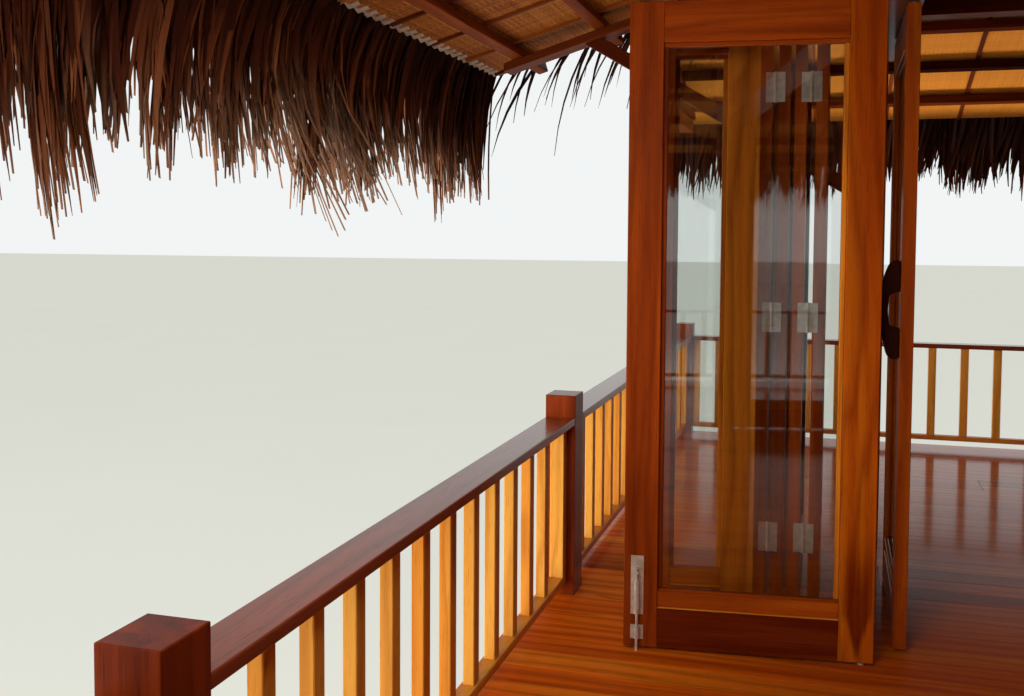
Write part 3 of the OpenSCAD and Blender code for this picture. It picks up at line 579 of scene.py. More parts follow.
for side, line, bays in (("river", -newel_x, quarters + walk), ("land", newel_x, quarters),
                         ("far", newel_y, thirds), ("near", -newel_y, thirds)):
    lengthwise = side in ("river", "land")
    uprights, lows = [], []
    for start, end in bays:
        tall, middle, long = rail_under - low_z1, (start + end) / 2, end - start
        count = round((long - stile_long) / step) - 1
        first = middle - (count - 1) * step / 2
        spots = [(start + stile_long / 2, low_wide)]
        spots += [(first + i * step, baluster_wide) for i in range(count)]
        spots += [(end - stile_long / 2, low_wide)]
        low_z = (low_z0 + low_z1) / 2
        lows.append(((line, middle, low_z) if lengthwise else (middle, line, low_z),
                     (long, low_wide, low_z1 - low_z0), LIE_Y if lengthwise else LIE_X,
                     dice.uniform(0.2, 0.8)))
        for at, wide in spots:
            z = low_z1 + tall / 2
            uprights.append(((line, at, z) if lengthwise else (at, line, z),
                             (tall, wide, stile_long) if lengthwise else (tall, stile_long, wide),
                             STAND, 0.42 + 0.58 * dice.beta(1.6, 1.2)))
    for part, bars in (("_low_rails", lows), ("_balusters", uprights)):
        handed_in(timbers(side + part, bars), honey_teak, "honey_teak", side + "_railing")

# Frame of the room
# Four corner posts carry wall plates on short studs, tie beams and king posts. The heads over
# the doors are set between the posts. It is all planed teak, pegged and varnished.
frame_teak = timber_finish("frame_teak", (0.060, 0.009, 0.002), (0.25, 0.045, 0.006),
                           (0.46, 0.13, 0.015), gloss=0.36, coat=0.5)
dark_teak = timber_finish("roof_teak", (0.045, 0.006, 0.002), (0.16, 0.030, 0.006),
                          (0.32, 0.080, 0.012), gloss=0.42, coat=0.3, shine=0.05)
for node, name, edge in (("room_posts", "corner_posts", 0.004),
                         ("door_heads", "door_head_beams", 0.003),
                         ("transom_studs", "stud_row", 0.003)):
    refaced(node, name, frame_teak, "orange_teak", edge, (0.2, 0.8))
for node, name in (("wall_plates", "plate_beams"), ("tie_beams", "tie_beam_row"),
                   ("king_posts", "king_post_row"), ("ridge_beam", "ridge_pole"),
                   ("main_rafters", "rafter_planks"), ("knee_braces", "eave_braces")):
    refaced(node, name, dark_teak, "dark_teak", 0.003, (0.1, 0.8))

# Purlins and battens
# Purlins of planed teak lie on the rafters, and thin battens over them carry the woven mats. The
# purlins of the terraces lie in shade, which is painted into their darker finish.
purlin_teak = timber_finish("purlin_teak", (0.055, 0.008, 0.002), (0.21, 0.040, 0.005),
                            (0.40, 0.10, 0.010), gloss=0.45, coat=0.1, shine=0.04)
# The terrace purlins take a darker copy of the teak, with their shade painted in.
shaded_teak = timber_finish("shaded_teak", (0.020, 0.003, 0.0008), (0.075, 0.011, 0.002),
                            (0.16, 0.032, 0.006), gloss=0.55, coat=0.0, shine=0.02)
refaced("main_purlins", "purlin_rods", purlin_teak, "red_teak", 0.004)
refaced("terrace_purlins", "terrace_purlin_rods", shaded_teak, "red_teak", 0.004)
refaced("ceiling_battens", "batten_strips", dark_teak, "dark_teak", 0.0015)

# Terrace frames
# Tall posts in the railing line hold head beams, level beams and rafter planks for the lower
# roofs over the two ends of the deck.
refaced("terrace_posts", "terrace_post_row", newel_teak, "red_teak", 0.003, (0.2, 0.8))
for node, name in (("terrace_level_beams", "terrace_runners"),
                   ("terrace_head_beams", "terrace_heads"),
                   ("terrace_rafters", "terrace_rafter_planks")):
    refaced(node, name, dark_teak, "dark_teak", 0.003, (0.1, 0.8))

# Woven mats
# Split bamboo woven in a plain weave lines every slope, and closes the gables and transoms. The
# mats over the terraces carry painted light: they are painted paler and more golden than those over
# the room.


def mat_finish(name, flat_axes, light):
    """A plain weave of strips that run along two of the axes."""
    strip, room_end = 0.011, (3.10, 3.16)
    material, shader, start = new_finish(name)
    place = start.place()
    apart = place.split()
    row, column = (apart[axis] * (1 / strip) for axis in flat_axes)
    row_number, column_number = start.maths("FLOOR", row), start.maths("FLOOR", column)
    over = start.maths("FLOORED_MODULO", row_number + column_number, 2.0)

    def woven(first, second):
        return first * over + second * (1 - over)

    crown = woven(*(start.maths("SINE", start.maths("FRACT", line) * math.pi)
                    for line in (row, column)))
    own = woven(*(start.node("ShaderNodeTexWhiteNoise", {"noise_dimensions": "1D"}, {"W": number},
                             "Value") for number in (row_number, column_number + 71)))
    share = own * 0.42 + place.noise(2.3, 5, 0.6) * 0.55 + place.noise(160, 2, 0.5) * 0.22 - 0.12
    stops = [(at, tuple(part * light for part in colour)) for at, colour in (
        (0.15, (0.16, 0.034, 0.004)), (0.5, (0.46, 0.135, 0.016)), (0.85, (0.66, 0.28, 0.055)))]
    # Painted light: the mats over the terraces are mixed towards a paler, more golden colour.
    terrace_painted_light = start.maths("ABSOLUTE", apart[1]).clipped(*room_end)
    # Painted shade: the weave is darkened along the edges of each strip, in the creases between
    # strips.
    colour = share.tinted(*stops).darkened((0.30, 0.22, 0.16, 1), (1 - crown) ** 3 * 0.8)
    fed(shader, Base_Color=colour.mixed((0.92, 0.37, 0.040, 1), terrace_painted_light * 0.55),
        Roughness=0.7 - crown * 0.12, Normal=crown.raised(0.8, 0.0018), Specular_IOR_Level=0.12)
    return material


def refinished(node, material):
    """Leaves a node of the frame as it is, under a better finish."""
    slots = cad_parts[node].data.materials
    slots.clear()
    slots.append(material)


refinished("woven_ceilings", mat_finish("woven_bamboo", (0, 1), 0.86))
refinished("gable_panels", mat_finish("woven_gable_panels", (0, 2), 1.0))
refinished("transom_panels", mat_finish("woven_transom_panels", (1, 2), 1.0))

# Palm leaf
# Dry palm leaflets, folded along the midrib and tapering to a point. They are bundled and tied
# in courses on the slopes, and hang in a loose fringe from the eaves.


def wanted(test):
    """Selects in edit mode the points of the active mesh that pass a test."""
    bpy.ops.object.mode_set(mode="OBJECT")
    mesh = bpy.context.object.data
    for part in (mesh.vertices, mesh.edges, mesh.polygons):
        part.foreach_set("select", [False] * len(part))
    for point in mesh.vertices:
        point.select = bool(test(point.co))
    bpy.ops.object.mode_set(mode="EDIT")


leaf_fold = 0.22
leaf_outline = ((0.0, 0.55), (0.2, 0.95), (0.4, 1.0), (0.6, 0.82), (0.8, 0.5), (1.0, 0.08))
leaflet = begun(bpy.ops.mesh.primitive_grid_add, x_subdivisions=5, y_subdivisions=2, size=1,
                location=(0.5, 0, 0))
bpy.ops.object.transform_apply(location=True)
for x, wide in leaf_outline:
    wanted(lambda co, x=x: abs(co.x - x) < 0.01)
    bpy.ops.transform.resize(value=(1, wide, 1), center_override=(x, 0, 0))
wanted(lambda co: abs(co.y) < 0.001)
bpy.ops.transform.translate(value=(0, 0, leaf_fold))
bpy.ops.object.mode_set(mode="OBJECT")
leaf_shape = points_of(leaflet)


def unit(rows):
    rows = np.asarray(rows, float)
    return rows / np.linalg.norm(rows, axis=-1, keepdims=True)


def leaves(name, base, run, flat, length, width, sway, tone):
    """Leaflets from their base along run, lying towards flat, and swaying off by their tips."""
    run = unit(run)
    side = unit(np.cross(flat, run))
    rise = np.cross(run, side)
    along, across, fold = (leaf_shape[None, :, axis, None] for axis in range(3))
    length, width = length[:, None, None], width[:, None, None]
    places = (base[:, None] + run[:, None] * (along * length) + side[:, None] * (across * width)
              + rise[:, None] * (fold * width) + sway[:, None] * along ** 2)
    piece = joined(name, leaflet.data, places)
    grain = np.concatenate([along * length, across * width, 0 * across * width], -1)
    grain += dice.uniform(-9, 9, (len(base), 1, 3)) * (0, 1, 1)
    marked(piece, grain, np.repeat(tone, len(leaf_shape)))
    return piece


def palm_finish(name, dark, mid, light, tip, shade=0.0):
    """Dry leaf in three colours, with veins, paler towards the tip, and darkened at its base by
    painted shade.
    """
    material, shader, start = new_finish(name)
    grain, tone = start.carried("grain", "Vector"), start.carried("tone", "Fac")
    along = grain.split()[0]
    vein = grain.stretched(2.0, 420, 420).noise(1.0, 2, 0.6)
    spot = grain.stretched(9, 60, 60).noise(1.0, 3, 0.6)
    colour = (tone * 0.72 + vein * 0.24 + spot * 0.18 - 0.06).tinted(
        (0.12, dark), (0.5, mid), (0.92, light))
    colour = colour.mixed((*tip, 1), along.clipped(0.42, 0.75) * 0.45 * spot)
    # Painted shade darkens the leaflet towards its base.
    colour = colour.darkened((0.22, 0.17, 0.16, 1), (1 - along.clipped(0.10, 0.62)) * shade)
    fed(shader, Base_Color=colour, Roughness=0.62 + spot * 0.2, Normal=vein.raised(0.5, 0.001))
    return material


thatch_leaf = palm_finish("thatch_leaf", (0.055, 0.035, 0.022), (0.17, 0.115, 0.070),
                          (0.36, 0.27, 0.175), (0.30, 0.22, 0.13))
# The fringe's leaflets take painted shade at their bases, under the eave.
fringe_leaf = palm_finish("fringe_leaf", (0.024, 0.0050, 0.0024), (0.10, 0.024, 0.010),
                          (0.38, 0.125, 0.048), (0.54, 0.33, 0.18), shade=0.97)

# Thatch
# Courses of leaflets tied over the purlins, each course lapping the one below, about a hand
# thick. A closed bed of leaf lies under them.
pitch, verge_y, eave_x, eave_z = math.radians(17), 3.1245, 4.104, deck_top + 2.096
ridge_z, slope_long = eave_z + math.tan(pitch) * eave_x, eave_x / math.cos(pitch)
flatter, end_top_y, end_eave_y, end_x = math.radians(15.1), 3.2145, 5.27, 3.525
end_eave_z, end_deep = deck_top + 2.05, end_eave_y - end_top_y
end_top_z, end_long = end_eave_z + math.tan(flatter) * end_deep, end_deep / math.cos(flatter)
for node in ("main_thatch", "terrace_thatch"):
    refaced(node, node + "_bed", thatch_leaf, "palm_thatch", 0)


def thatched(name, origin, down, along, up, slope, wide, first):
    """Courses of leaflets on a slope, from its top middle: down it, along a course, up off it."""
    course, gap, overhang = 0.19, 0.034, 0.10
    origin, down, along, up = (np.array(way, float) for way in (origin, down, along, up))
    count = int(wide / gap)
    one_each = (count, 1)
    courses, at = [], first
    while at < slope - 0.05:
        place = (np.arange(count) + dice.uniform(-0.5, 0.5, count)) / (count - 1) * wide - wide / 2
        place = np.clip(place, -wide / 2, wide / 2)[:, None]
        reach = np.minimum(dice.uniform(0.30, 0.48, count),
                           slope + overhang - at + dice.uniform(-0.03, 0.05, count))
        lift = dice.uniform(0.104, 0.128, one_each)
        courses.append((
            origin + down * at + along * place + up * lift,
            down + along * dice.normal(0, 0.13, one_each) - up * dice.uniform(0.02, 0.07, one_each),
            up + along * dice.normal(0, 0.35, one_each), reach, dice.uniform(0.035, 0.060, count),
            up * dice.uniform(-0.01, 0.035, one_each) + along * dice.normal(0, 0.02, one_each),
            np.clip(dice.beta(1.7, 2.0, count) + dice.normal(0, 0.06), 0, 1)))
        at += course * dice.uniform(0.92, 1.08)
    return leaves(name, *(np.concatenate(part) for part in zip(*courses)))


out, fall = math.cos(pitch), math.sin(pitch)
for name, side in (("river_thatch", -1), ("land_thatch", 1)):
    slope = thatched(name, (0, 0, ridge_z), (side * out, 0, -fall), (0, 1, 0),
                     (side * fall, 0, out), slope_long, 2 * verge_y, 0.12)
    handed_in(slope, thatch_leaf, "palm_thatch", "main_thatch")
end_out, end_fall = math.cos(flatter), math.sin(flatter)
for name, side in (("far_thatch", 1), ("near_thatch", -1)):
    slope = thatched(name, (0, side * end_top_y, end_top_z), (0, side * end_out, -end_fall),
                     (1, 0, 0), (0, side * end_fall, end_out), end_long, 2 * end_x, 0.0)
    handed_in(slope, thatch_leaf, "palm_thatch", "terrace_thatch")

# Ridge cap
# Palm leaflets folded over the ridge in thick bundles, and tied down on a closed bed of leaf, so
# that both slopes meet under one cap.


def rows_of(x, y, z):
    """Points or directions from their three numbers, each an array or the same for all."""
    return np.stack(np.broadcast_arrays(x, y, z), 1)


count = 2300
place = dice.uniform(-verge_y, verge_y, count)
side = np.where(dice.random(count) < 0.5, -1.0, 1.0)
lift = dice.uniform(0.190, 0.215, count)
base = rows_of(side * dice.uniform(-0.03, 0.02, count), place, ridge_z + lift)
run = rows_of(side * out, dice.normal(0, 0.1, count), dice.uniform(-0.02, 0.05, count) - fall)
flat = rows_of(side * fall, dice.normal(0, 0.4, count), out)
reach, wide = dice.uniform(0.32, 0.46, count), dice.uniform(0.035, 0.06, count)
sway = rows_of(0, dice.normal(0, 0.02, count), -dice.uniform(0.0, 0.03, count))
tone = dice.beta(1.6, 2.2, count)
handed_in(leaves("ridge_leaves", base, run, flat, reach, wide, sway, tone),
          thatch_leaf, "palm_thatch", "ridge_cap")
refaced("ridge_cap", "ridge_bed", thatch_leaf, "palm_thatch", 0.01)

# Fringes
# The last bundles are left long at the eaves, so that their tips hang in a ragged curtain, and
# loose leaflets hang out along the verges.


def hung(piece):
    handed_in(piece, fringe_leaf, "palm_fringe", "palm_fringes")


def fringe(name, ends, outward, long, sweep):
    """A curtain of leaflets between two points of an eave, in clumps that hang to a point."""
    spacing, depth, high = 0.0034, 0.066, 0.11
    start, end, outward = (np.array(point, float) for point in (*ends, outward))
    total = np.linalg.norm(end - start)
    line = (end - start) / total
    count = int(total / spacing)
    place = dice.uniform(0, total, count)
    out = dice.random(count)
    clumps = np.cumsum(dice.uniform(0.07, 0.25, int(total / 0.1) + 2)) - 0.1
    own = np.abs(place[:, None] - clumps[None]).argmin(1)
    off = place - clumps[own]
    drop = (dice.uniform(0.70, 0.97, len(clumps))[own] * (1 - 2.2 * np.abs(off))
            * (1.03 - 0.30 * dice.random(count) ** 1.5))
    base = start + line * place[:, None] + outward * (out * depth)[:, None]
    base[:, 2] += high * (0.25 + 0.75 * dice.random(count))
    lean = sweep(place) * dice.uniform(0.7, 1.25, count) + dice.normal(0, 0.12, count)
    kick = dice.uniform(0.10, 0.55, count) * (1 - 0.5 * out)
    run = np.array([0, 0, -1.0]) + line * lean[:, None] + outward * kick[:, None]
    reach = long * drop * np.sqrt(1 + 0.6 * lean ** 2) + (base[:, 2] - start[2])
    sway = (line * (-0.42 * lean * reach - off * 0.5 + dice.normal(0, 0.03, count))[:, None]
            - outward * (kick * reach * 0.62)[:, None])
    sway[:, 2] -= 0.12 * np.abs(lean) * reach
    flat = outward + line * dice.normal(0, 0.8, count)[:, None]
    wide = dice.uniform(0.014, 0.040, count)
    tone = np.clip(dice.beta(1.4, 2.6, count) + 0.10 * (out < 0.15), 0, 1)
    return leaves(name, base, run, flat, reach, wide, sway, tone)


def main_sweep(place):
    """How far the tips lean along the eave: they sweep back towards the far corner."""
    return -0.12 - 1.25 * np.exp(-((place - 4.7) / 1.1) ** 2) + 0.16 * np.sin(place * 5.2)


def end_sweep(place):
    return -0.12 + 0.16 * np.sin(place * 2.3)


for name, side in (("river_fringe", -1), ("land_fringe", 1)):
    ends = [(side * eave_x, y, eave_z) for y in (-verge_y, verge_y)]
    hung(fringe(name, ends, (side, 0, 0), 0.72, main_sweep))
for name, side in (("far_fringe", 1), ("near_fringe", -1)):
    ends = [(x, side * end_eave_y, end_eave_z) for x in (-end_x, end_x)]
    hung(fringe(name, ends, (0, side, 0), 0.55, end_sweep))

# Whole dead fronds that slipped from the eave hang below the rest, with a bundle at the corner:
# where each hangs along the eave, how far down, how wide it spreads, its leaflets and its lean.
fronds = []
for y, drop, spread, many, lean in (
        (-0.07, 0.76, 0.030, 34, 0.05), (-0.23, 0.72, 0.020, 12, 0.0),
        (0.42, 0.66, 0.02, 12, -0.25), (0.02, 0.70, 0.02, 16, 0.1),
        (1.20, 0.73, 0.030, 26, -0.30), (1.62, 0.68, 0.025, 16, -0.30),
        (2.44, 0.72, 0.014, 12, -0.16), (2.86, 0.60, 0.022, 26, 0.02)):
    for leaf in range(many):
        fronds.append((y - 0.5 * lean * drop + dice.normal(0, spread),
                       drop * dice.uniform(0.78, 1.02), lean + dice.normal(0, 0.03),
                       dice.beta(2.6, 2.0)))
y, drop, lean, tone = np.array(fronds).T
count = len(y)
for name, side in (("river_fronds", -1), ("land_fronds", 1)):
    base = rows_of(side * (eave_x + 0.05) + dice.uniform(-0.02, 0.03, count), -side * y,
                   eave_z - dice.uniform(0.0, 0.06, count))
    run = rows_of(side * 0.12, -side * lean, -1.0)
    flat = rows_of(side, dice.normal(0, 0.7, count), 0)
    sway = rows_of(side * -0.08, dice.normal(0, 0.015, count), 0)
    wide = dice.uniform(0.010, 0.026, count)
    hung(leaves(name, base, run, flat, drop, wide, sway, tone))

# Loose leaflets hang out along the sloping edges of the main roof.
count = 330
for name, side in (("far_verge", 1), ("near_verge", -1)):
    x = dice.uniform(0.05, 4.08, count) * np.where(dice.random(count) < 0.5, -1, 1)
    down = np.sign(x)
    lift = dice.uniform(0.03, 0.11, count)
    base = rows_of(x, side * verge_y + side * dice.uniform(-0.02, 0.03, count),
                   ridge_z - np.abs(x) * fall / out + lift)
    run = rows_of(down * dice.uniform(0.45, 1.25, count), side * dice.uniform(0.0, 0.35, count),
                  -dice.uniform(0.7, 1.0, count))
    reach = dice.uniform(0.22, 0.62, count)
    sway = rows_of(-down * 0.22 * reach, 0, -0.16 * reach)
    flat = rows_of(dice.normal(0, 0.5, count), side, dice.normal(0, 0.3, count))
    wide, tone = dice.uniform(0.010, 0.022, count), dice.beta(1.5, 3, count)
    hung(leaves(name + "_leaflets", base, run, flat, reach, wide, sway, tone))

# Eave sheet
# A strip of corrugated steel sheet, stained by dust and leaf, is nailed under the last course and
# throws the drip clear of the mats.
wave_long, wave_high, wave_steps = 0.076, 0.006, 8
sheet_t, sheet_in, sheet_out = 0.0028, 0.03, 0.016
steps = int(2 * verge_y / wave_long) * wave_steps
sheet = begun(bpy.ops.mesh.primitive_grid_add, x_subdivisions=1, y_subdivisions=steps, size=1)
sheet_shape = points_of(sheet)
at_step = np.rint((sheet_shape[:, 1] + 0.5) * steps).astype(int)
sheet_y = np.linspace(-verge_y, verge_y, steps + 1)[at_step]
wave = wave_high * np.cos(2 * math.pi * sheet_y / wave_long)
for name, side in (("river_eave_sheet", -1), ("land_eave_sheet", 1)):
    x = eave_x + np.where(sheet_shape[:, 0] > 0, sheet_out, -sheet_in)
    z = ridge_z - x * fall / out + 0.001 + wave
    piece = joined(name, sheet.data, [rows_of(side * x, sheet_y, z)])
    taken_up(piece)
    skin = piece.modifiers.new("skin", "SOLIDIFY")
    skin.thickness, skin.offset = sheet_t, 0
    bpy.ops.object.modifier_apply(modifier=skin.name)
    material, shader, start = new_finish(name + "_coat")
    dirt = start.place().noise(9, 5, 0.65)
    fed(shader, Base_Color=dirt.tinted((0.3, (0.20, 0.145, 0.105)), (0.62, (0.52, 0.45, 0.38))),
        Roughness=0.6 + dirt * 0.2, Normal=dirt.raised(0.4, 0.001))
    handed_in(piece, material, "steel", smooth=60)
bpy.data.objects.remove(sheet)

# Door leaves
# Each leaf is two stiles, two rails, glazing beads both sides and one clear pane. The stiles of
# the leaf with the bolt were cut from two trees, so one is red and the other golden.
leaf_wide, leaf_thick, stile, top_rail = 0.755, 0.040, 0.105, 0.125
plinth, sill, bead, bead_off, bead_deep = 0.129, 0.188, 0.014, 0.0069, 0.0082
# The last number on the next line is the tone of a thin pale bar that paints a highlight along the
# top arris of the plinth.
sill_slope, sill_off, painted_arris_highlight = math.radians(7.5), 0.0125, 1.05
foot_z = deck_top + 0.010


def leaf_bars(height, tones, wide=leaf_wide):
    """The bars of one leaf that stands across X at the origin."""
    inner, stile_x = wide - 2 * stile, (wide - stile) / 2
    pane_top, sill_z = height - top_rail - bead, (plinth + sill) / 2 - 0.004
    tall = pane_top - sill
    bars = [((-stile_x, 0, height / 2), (height, stile, leaf_thick), STAND, tones[0]),
            ((stile_x, 0, height / 2), (height, stile, leaf_thick), STAND, tones[1]),
            ((0, 0, height - top_rail / 2), (inner, leaf_thick, top_rail), LIE_X, tones[2]),
            ((0, 0, plinth / 2), (inner, leaf_thick, plinth), LIE_X, tones[3]),
            # A thin pale bar along the top of the plinth: a painted highlight on its arris.
            ((0, 0, plinth - 0.002), (inner, leaf_thick + 0.0006, 0.0055), LIE_X, painted_arris_highlight),
            ((0, 0, sill_z), (inner, 0.018, sill - plinth - 0.008), LIE_X, tones[3] + 0.3)]
    for side in (-1, 1):
        slant = np.array(Matrix.Rotation(-side * sill_slope, 3, "X"))
        bars.append(((0, side * sill_off, sill_z), (inner, 0.010, sill - plinth - 0.010), slant,
                     tones[3] + 0.35))
    for y in (-bead_off, bead_off):
        bars += [((0, y, sill - 0.012), (inner, bead_deep, 0.020), LIE_X, tones[4]),
                 ((0, y, pane_top + bead / 2), (inner, bead_deep, bead), LIE_X, tones[4])]
        for side in (-1, 1):
            bars.append(((side * (inner - bead) / 2, y, (sill + pane_top) / 2),
                         (tall, bead, bead_deep), STAND, tones[5] * (0.6 + 0.4 * side)))
    return bars


def placed(bars, x, y, degrees):
    """Bars turned about the upright and stood on their pins at a place."""
    turn = np.array(Matrix.Rotation(math.radians(degrees), 3, "Z"))
    return [(turn @ np.array(middle) + (x, y, foot_z), size, turn @ lie, tone)
            for middle, size, lie, tone in bars]


def one_tone_each():
    return tuple(dice.uniform(0.15, 0.85, 6))


def heartwood(start, broad):
    """Dark heartwood across the foot of the golden stile, running out in a point above it."""
    foot_x, foot_y, turn, half = -2.3908, 1.3095, math.radians(6), 0.043
    x, y, z = start.place().split()
    across = (x - foot_x) * math.cos(turn) + (y - foot_y) * math.sin(turn)
    point = start.maths("MINIMUM", (z - (foot_z + 0.005)) * 0.30, half)
    off = start.maths("ABSOLUTE", across - 0.006 + (broad - 0.5) * 0.05)
    faded = (z + broad * 0.35).clipped(2.12, 2.34) * 0.8
    return (point - off).clipped(-0.004, 0.016) * (1 - faded) * 0.8


leaf_teak = timber_finish("leaf_teak", (0.085, 0.008, 0.0012), (0.36, 0.060, 0.004),
                          (0.66, 0.23, 0.016), lean=-0.02, gloss=0.32, coat=0.6, knots=0.66)
golden_teak = timber_finish("golden_teak", (0.085, 0.004, 0.0005), (0.34, 0.055, 0.0018),
                            (0.58, 0.19, 0.008), gloss=0.32, coat=0.6, knots=0.62,
                            heartwood_and_shade=heartwood)
# Places are the leaf's middle and its turn: the folded leaves stand nearly edge-on behind the
# leaf with the bolt, the far ones are all folded to the land side, and the rest are closed.
long_h, short_h, room_x, room_y = 2.002, 2.185, 2.3405, 2.7195
leaf_step, fold_step, fold_in = 0.758, 0.096, 0.145
bolt_at, handle_at, half_at = (-2.714, 1.2755, 6), (-2.2555, 1.818, 90), (-2.9009, 1.4963, 8)
folded = [(-2.7037, 2.0525, 90), (-2.6455, 2.0675, 90), (-2.592, 2.0675, 90), (-2.5223, 2.0675, 90)]
far_at = [(room_x - fold_in - fold_step * i, room_y, 90) for i in range(6)]
near_at = [((i - 2.5) * leaf_step, -room_y, 0) for i in range(6)]
land_at = [(room_x, (i - 3) * leaf_step, 90) for i in range(7)]
bolt_leaf = placed(leaf_bars(long_h, (0.33, 0.52, 0.42, 0.10, 0.4, 0.9)), *bolt_at)
handle_leaf = placed(leaf_bars(long_h, (0.5, 0.5, 0.4, 0.4, 0.4, 0.4)), *handle_at)
stack = placed(leaf_bars(long_h, (0.3, 0.80, 0.4, 0.3, 0.4, 0.8), leaf_wide / 2), *half_at)
for at, tone in zip(folded, (0.50, 0.36, 0.42, 0.5)):
    stack += placed(leaf_bars(long_h, (tone,) * 6), *at)
for name, bars, finish, node in (
        ("bolt_leaf_timbers", bolt_leaf[:1] + bolt_leaf[2:], leaf_teak, "bolt_leaf"),
        ("golden_stile", bolt_leaf[1:2], golden_teak, "bolt_leaf"),
        ("handle_leaf_timbers", handle_leaf, leaf_teak, "handle_leaf"),
        ("stacked_leaf_timbers", stack, leaf_teak, "stacked_leaves")):
    handed_in(timbers(name, bars), finish, "orange_teak", node)
far_bars, closed = [], []
for far, near in zip(far_at, near_at):
    far_bars += placed(leaf_bars(short_h, one_tone_each()), *far)
    closed += placed(leaf_bars(short_h, one_tone_each()), *near)
for at in land_at:
    closed += placed(leaf_bars(long_h, one_tone_each()), *at)
handed_in(timbers("far_leaf_timbers", far_bars), leaf_teak, "orange_teak", "far_leaves")
handed_in(timbers("closed_leaf_timbers", closed), leaf_teak, "orange_teak", "closed_leaves")

# Panes and pins
# Clear float glass, seated in the beads of each leaf. Short turned steel pins with a collar stand
# under and over the leaves, and the tower bolt is of the same worn steel.
glass = bpy.data.materials.new("clear_pane")
glass.use_nodes = True
glass.node_tree.nodes.clear()
start = Shade(glass.node_tree)
clear = start.node("ShaderNodeBsdfTransparent", {}, {"Color": (0.93, 0.95, 0.94, 1)})
mirror = start.node("ShaderNodeBsdfGlossy", {}, {"Color": (1, 1, 1, 1), "Roughness": 0.02})
mirroring = start.node("ShaderNodeFresnel", {}, {"IOR": 1.5}) * 2.6
pane = clear.covered(mirror, start.maths("MINIMUM", mirroring, 1.0))
start.node("ShaderNodeOutputMaterial", {}, {"Surface": pane})


def pane_box(height, x, y, degrees, wide=leaf_wide):
    """One pane, let 6 mm into the beads all round."""
    let_in, pane_t = 0.006, 0.005
    tall = height - top_rail - sill - bead + 2 * let_in
    across = wide - 2 * stile - 2 * bead + 2 * let_in
    return placed([((0, 0, sill + tall / 2 - let_in), (tall, across, pane_t), STAND, 0.5)],
                  x, y, degrees)


panes = pane_box(long_h, *bolt_at) + pane_box(long_h, *handle_at)
panes += pane_box(long_h, *half_at, leaf_wide / 2)
for at in folded:
    panes += pane_box(long_h, *at)
for far, near in zip(far_at, near_at):
    panes += pane_box(short_h, *far) + pane_box(short_h, *near)
for at in land_at:
    panes += pane_box(long_h, *at)
handed_in(timbers("pane_sheets", panes), glass, "glass", "door_panes")
bpy.context.scene.cycles.transparent_max_bounces = 32

steel, shader, start = new_finish("worn_steel")
place = start.place()
scratch, smear = place.stretched(900, 900, 60).noise(1.0, 2), place.noise(45, 3)
fed(shader, Base_Color=smear.tinted((0.2, (0.50, 0.46, 0.38)), (0.8, (0.86, 0.84, 0.77))),
    Metallic=0.6, Roughness=0.34 + scratch * 0.25)
refinished("tower_bolt", steel)
pin_off, bolt_pin, half_pin = 0.325, (-2.373, 1.3115), (-2.766, 1.5153)
pin = begun(bpy.ops.mesh.primitive_circle_add, vertices=16, radius=0.010, fill_type="NGON")
bpy.ops.object.mode_set(mode="EDIT")
for wider, rise in ((1.0, 0.003), (0.62, 0.0), (1.0, 0.007)):
    bpy.ops.mesh.select_mode(type="FACE")
    bpy.ops.mesh.extrude_region_move(TRANSFORM_OT_translate={"value": (0, 0, rise)})
    bpy.ops.transform.resize(value=(wider, wider, 1), center_override=(0, 0, 0))
closed_up()
pin_shape = points_of(pin)
feet = [(*bolt_pin, long_h)]
feet += [(handle_at[0], handle_at[1] + off, long_h) for off in (-pin_off, pin_off)]
feet += [(*half_pin, long_h)]
feet += [(x, y + pin_off, long_h) for x, y, turn in folded]
feet += [(x, y, short_h) for x, y, turn in far_at]
feet += [(x + off, y, short_h) for x, y, turn in near_at for off in (-pin_off, pin_off)]
feet += [(x, y + off, long_h) for x, y, turn in land_at for off in (-pin_off, pin_off)]
pins = joined("turning_pins", pin.data, [pin_shape + (x, y, z) for x, y, high in feet
                                         for z in (deck_top, foot_z + high)])
handed_in(pins, steel, "steel", "leaf_pins", smooth=40)
bpy.data.objects.remove(pin)

# Butt hinges
# The folded leaves are hinged in pairs with pressed steel butts, three to a joint. Each has a
# knuckle in five parts and two plates, with three screws in each plate.
knuckle_radius, knuckle_long, plate, plate_x = 0.0065, 0.102, (0.029, 0.0024, 0.100), 0.0205
cut_z, screw_z, hinge_z = (-0.0306, -0.0102, 0.0102, 0.0306), (-0.034, 0, 0.034), (1.97, 2.725, 3.50)
# Where each joint lies, how wide its plates are, and which way its knuckle faces.
joints = ((-2.6746, 1.6700, 0.9, 1), (-2.6187, 2.4465, 0.8, -1), (-2.5571, 1.6858, 0.95, 1))
hinge = begun(bpy.ops.mesh.primitive_cylinder_add, vertices=12, radius=knuckle_radius,
              depth=knuckle_long)
bpy.ops.object.mode_set(mode="EDIT")
for z in cut_z:
    bpy.ops.mesh.select_all(action="SELECT")
    bpy.ops.mesh.bisect(plane_co=(0, 0, z), plane_no=(0, 0, 1))
bpy.ops.mesh.select_all(action="DESELECT")
for side in (-1, 1):
    middle = (side * plate_x, 0.0012, 0)
    bpy.ops.mesh.primitive_cube_add(size=1, location=middle)
    bpy.ops.transform.resize(value=plate, center_override=middle)
    bpy.ops.mesh.select_all(action="DESELECT")
    for z in screw_z:
        screw_x = plate_x + 0.004 * (z == 0)
        bpy.ops.mesh.primitive_cylinder_add(
            vertices=8, radius=0.0034, depth=0.0016, location=(side * screw_x, -0.0006, z),
            rotation=(math.pi / 2, 0, 0))
        bpy.ops.mesh.select_all(action="DESELECT")
bpy.ops.object.mode_set(mode="OBJECT")
hinge_shape = points_of(hinge)
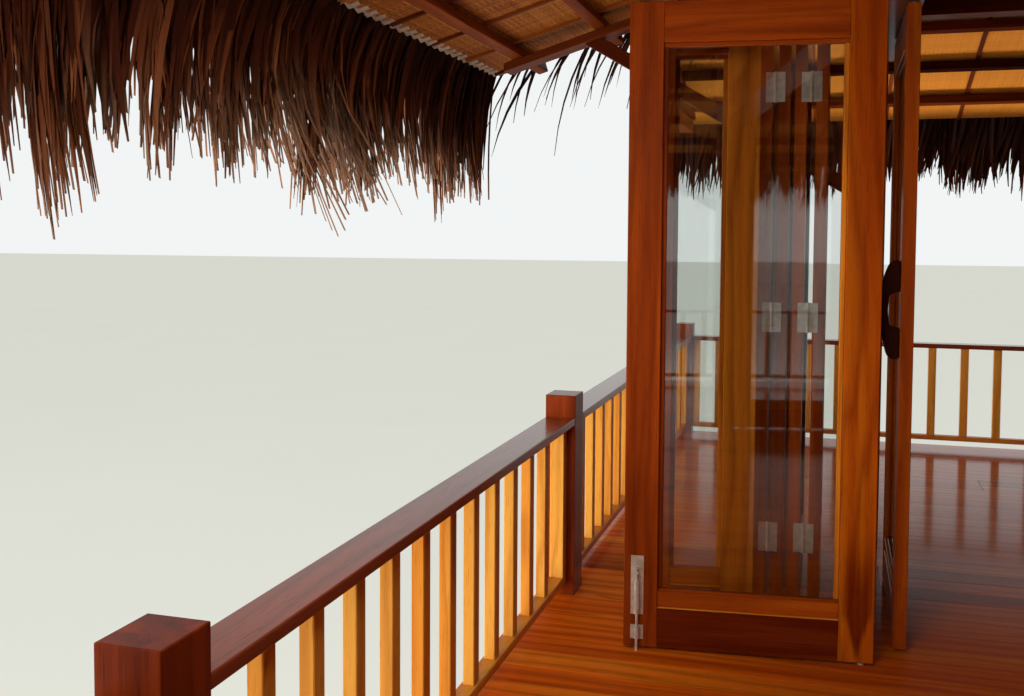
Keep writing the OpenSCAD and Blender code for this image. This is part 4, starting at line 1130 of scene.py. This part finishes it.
butts = [hinge_shape * (wide, face, 1) + (x, y, z) for x, y, wide, face in joints for z in hinge_z]
butts = joined("butt_hinges", hinge.data, butts)
taken_up(butts)
bpy.ops.object.mode_set(mode="EDIT")
closed_up()
handed_in(butts, steel, "steel", smooth=40)
bpy.data.objects.remove(hinge)

# Pull handle
# A bow cut from one piece of dark hardwood and rounded by hand, with a finger hole against the
# leaf. It is fixed to the stile of the leaf with no screw showing.
pull_low, pull_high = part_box("pull_handle")
pull_teak = timber_finish("pull_teak", (0.010, 0.0025, 0.0012), (0.045, 0.010, 0.004),
                          (0.10, 0.026, 0.010), gloss=0.36, coat=0.7, film=0.2, sheen=(0.3, 0.9))
face_x, reach_x = pull_high.x, pull_high.x - pull_low.x
mid_z, half_z = (pull_low.z + pull_high.z) / 2, (pull_high.z - pull_low.z) / 2
hole_z, hole_x = 0.053, 0.034
# For each height along the bow, its outer edge and the edge of its inner part.
heights = [-1.0, -0.94, -0.80, -0.64, -0.48, -0.345, -0.30, 0.0,
           0.30, 0.345, 0.48, 0.64, 0.80, 0.94, 1.0]
outer = [0.34, 0.54, 0.62, 0.71, 0.83, 0.97, 1.0, 1.0, 1.0, 0.98, 0.86, 0.74, 0.62, 0.50, 0.30]
inner = [0.014, 0.018, 0.022, 0.024, 0.024, 0.014, 0.031, 0.036,
         0.031, 0.014, 0.024, 0.024, 0.022, 0.018, 0.014]
rows = len(heights) - 1
pull = begun(bpy.ops.mesh.primitive_grid_add, x_subdivisions=2, y_subdivisions=rows, size=1,
             rotation=(math.pi / 2, 0, 0))
bpy.ops.object.transform_apply(rotation=True)
for point in pull.data.vertices:
    row, column = round((point.co.z + 0.5) * rows), round((point.co.x + 0.5) * 2)
    point.co.z = mid_z + heights[row] * half_z
    point.co.x = face_x - (reach_x * outer[row], inner[row], 0.0)[column]
bpy.ops.object.mode_set(mode="EDIT")
bpy.ops.mesh.select_mode(type="FACE")
bpy.ops.object.mode_set(mode="OBJECT")
for face in pull.data.polygons:
    face.select = abs(face.center.z - mid_z) < hole_z and face.center.x > face_x - hole_x
bpy.ops.object.mode_set(mode="EDIT")
bpy.ops.mesh.delete(type="FACE")
bpy.ops.mesh.select_all(action="SELECT")
bpy.ops.transform.translate(value=(0, pull_low.y, 0))
thickness = (0, pull_high.y - pull_low.y, 0)
bpy.ops.mesh.extrude_region_move(TRANSFORM_OT_translate={"value": thickness})
closed_up()
rounded(pull, 0.006, 50)
soft_form = pull.modifiers.new("soft_form", "SUBSURF")
soft_form.levels = soft_form.render_levels = 1
bpy.ops.object.modifier_apply(modifier=soft_form.name)
pull.name = pull.data.name = "carved_pull"
pull_shape = points_of(pull)
marked(pull, pull_shape[:, [2, 0, 1]], np.full(len(pull_shape), 0.5))
handed_in(pull, pull_teak, "dark_teak", "pull_handle", smooth=40)

bpy.data.objects.remove(bar)
bpy.data.objects.remove(leaflet)
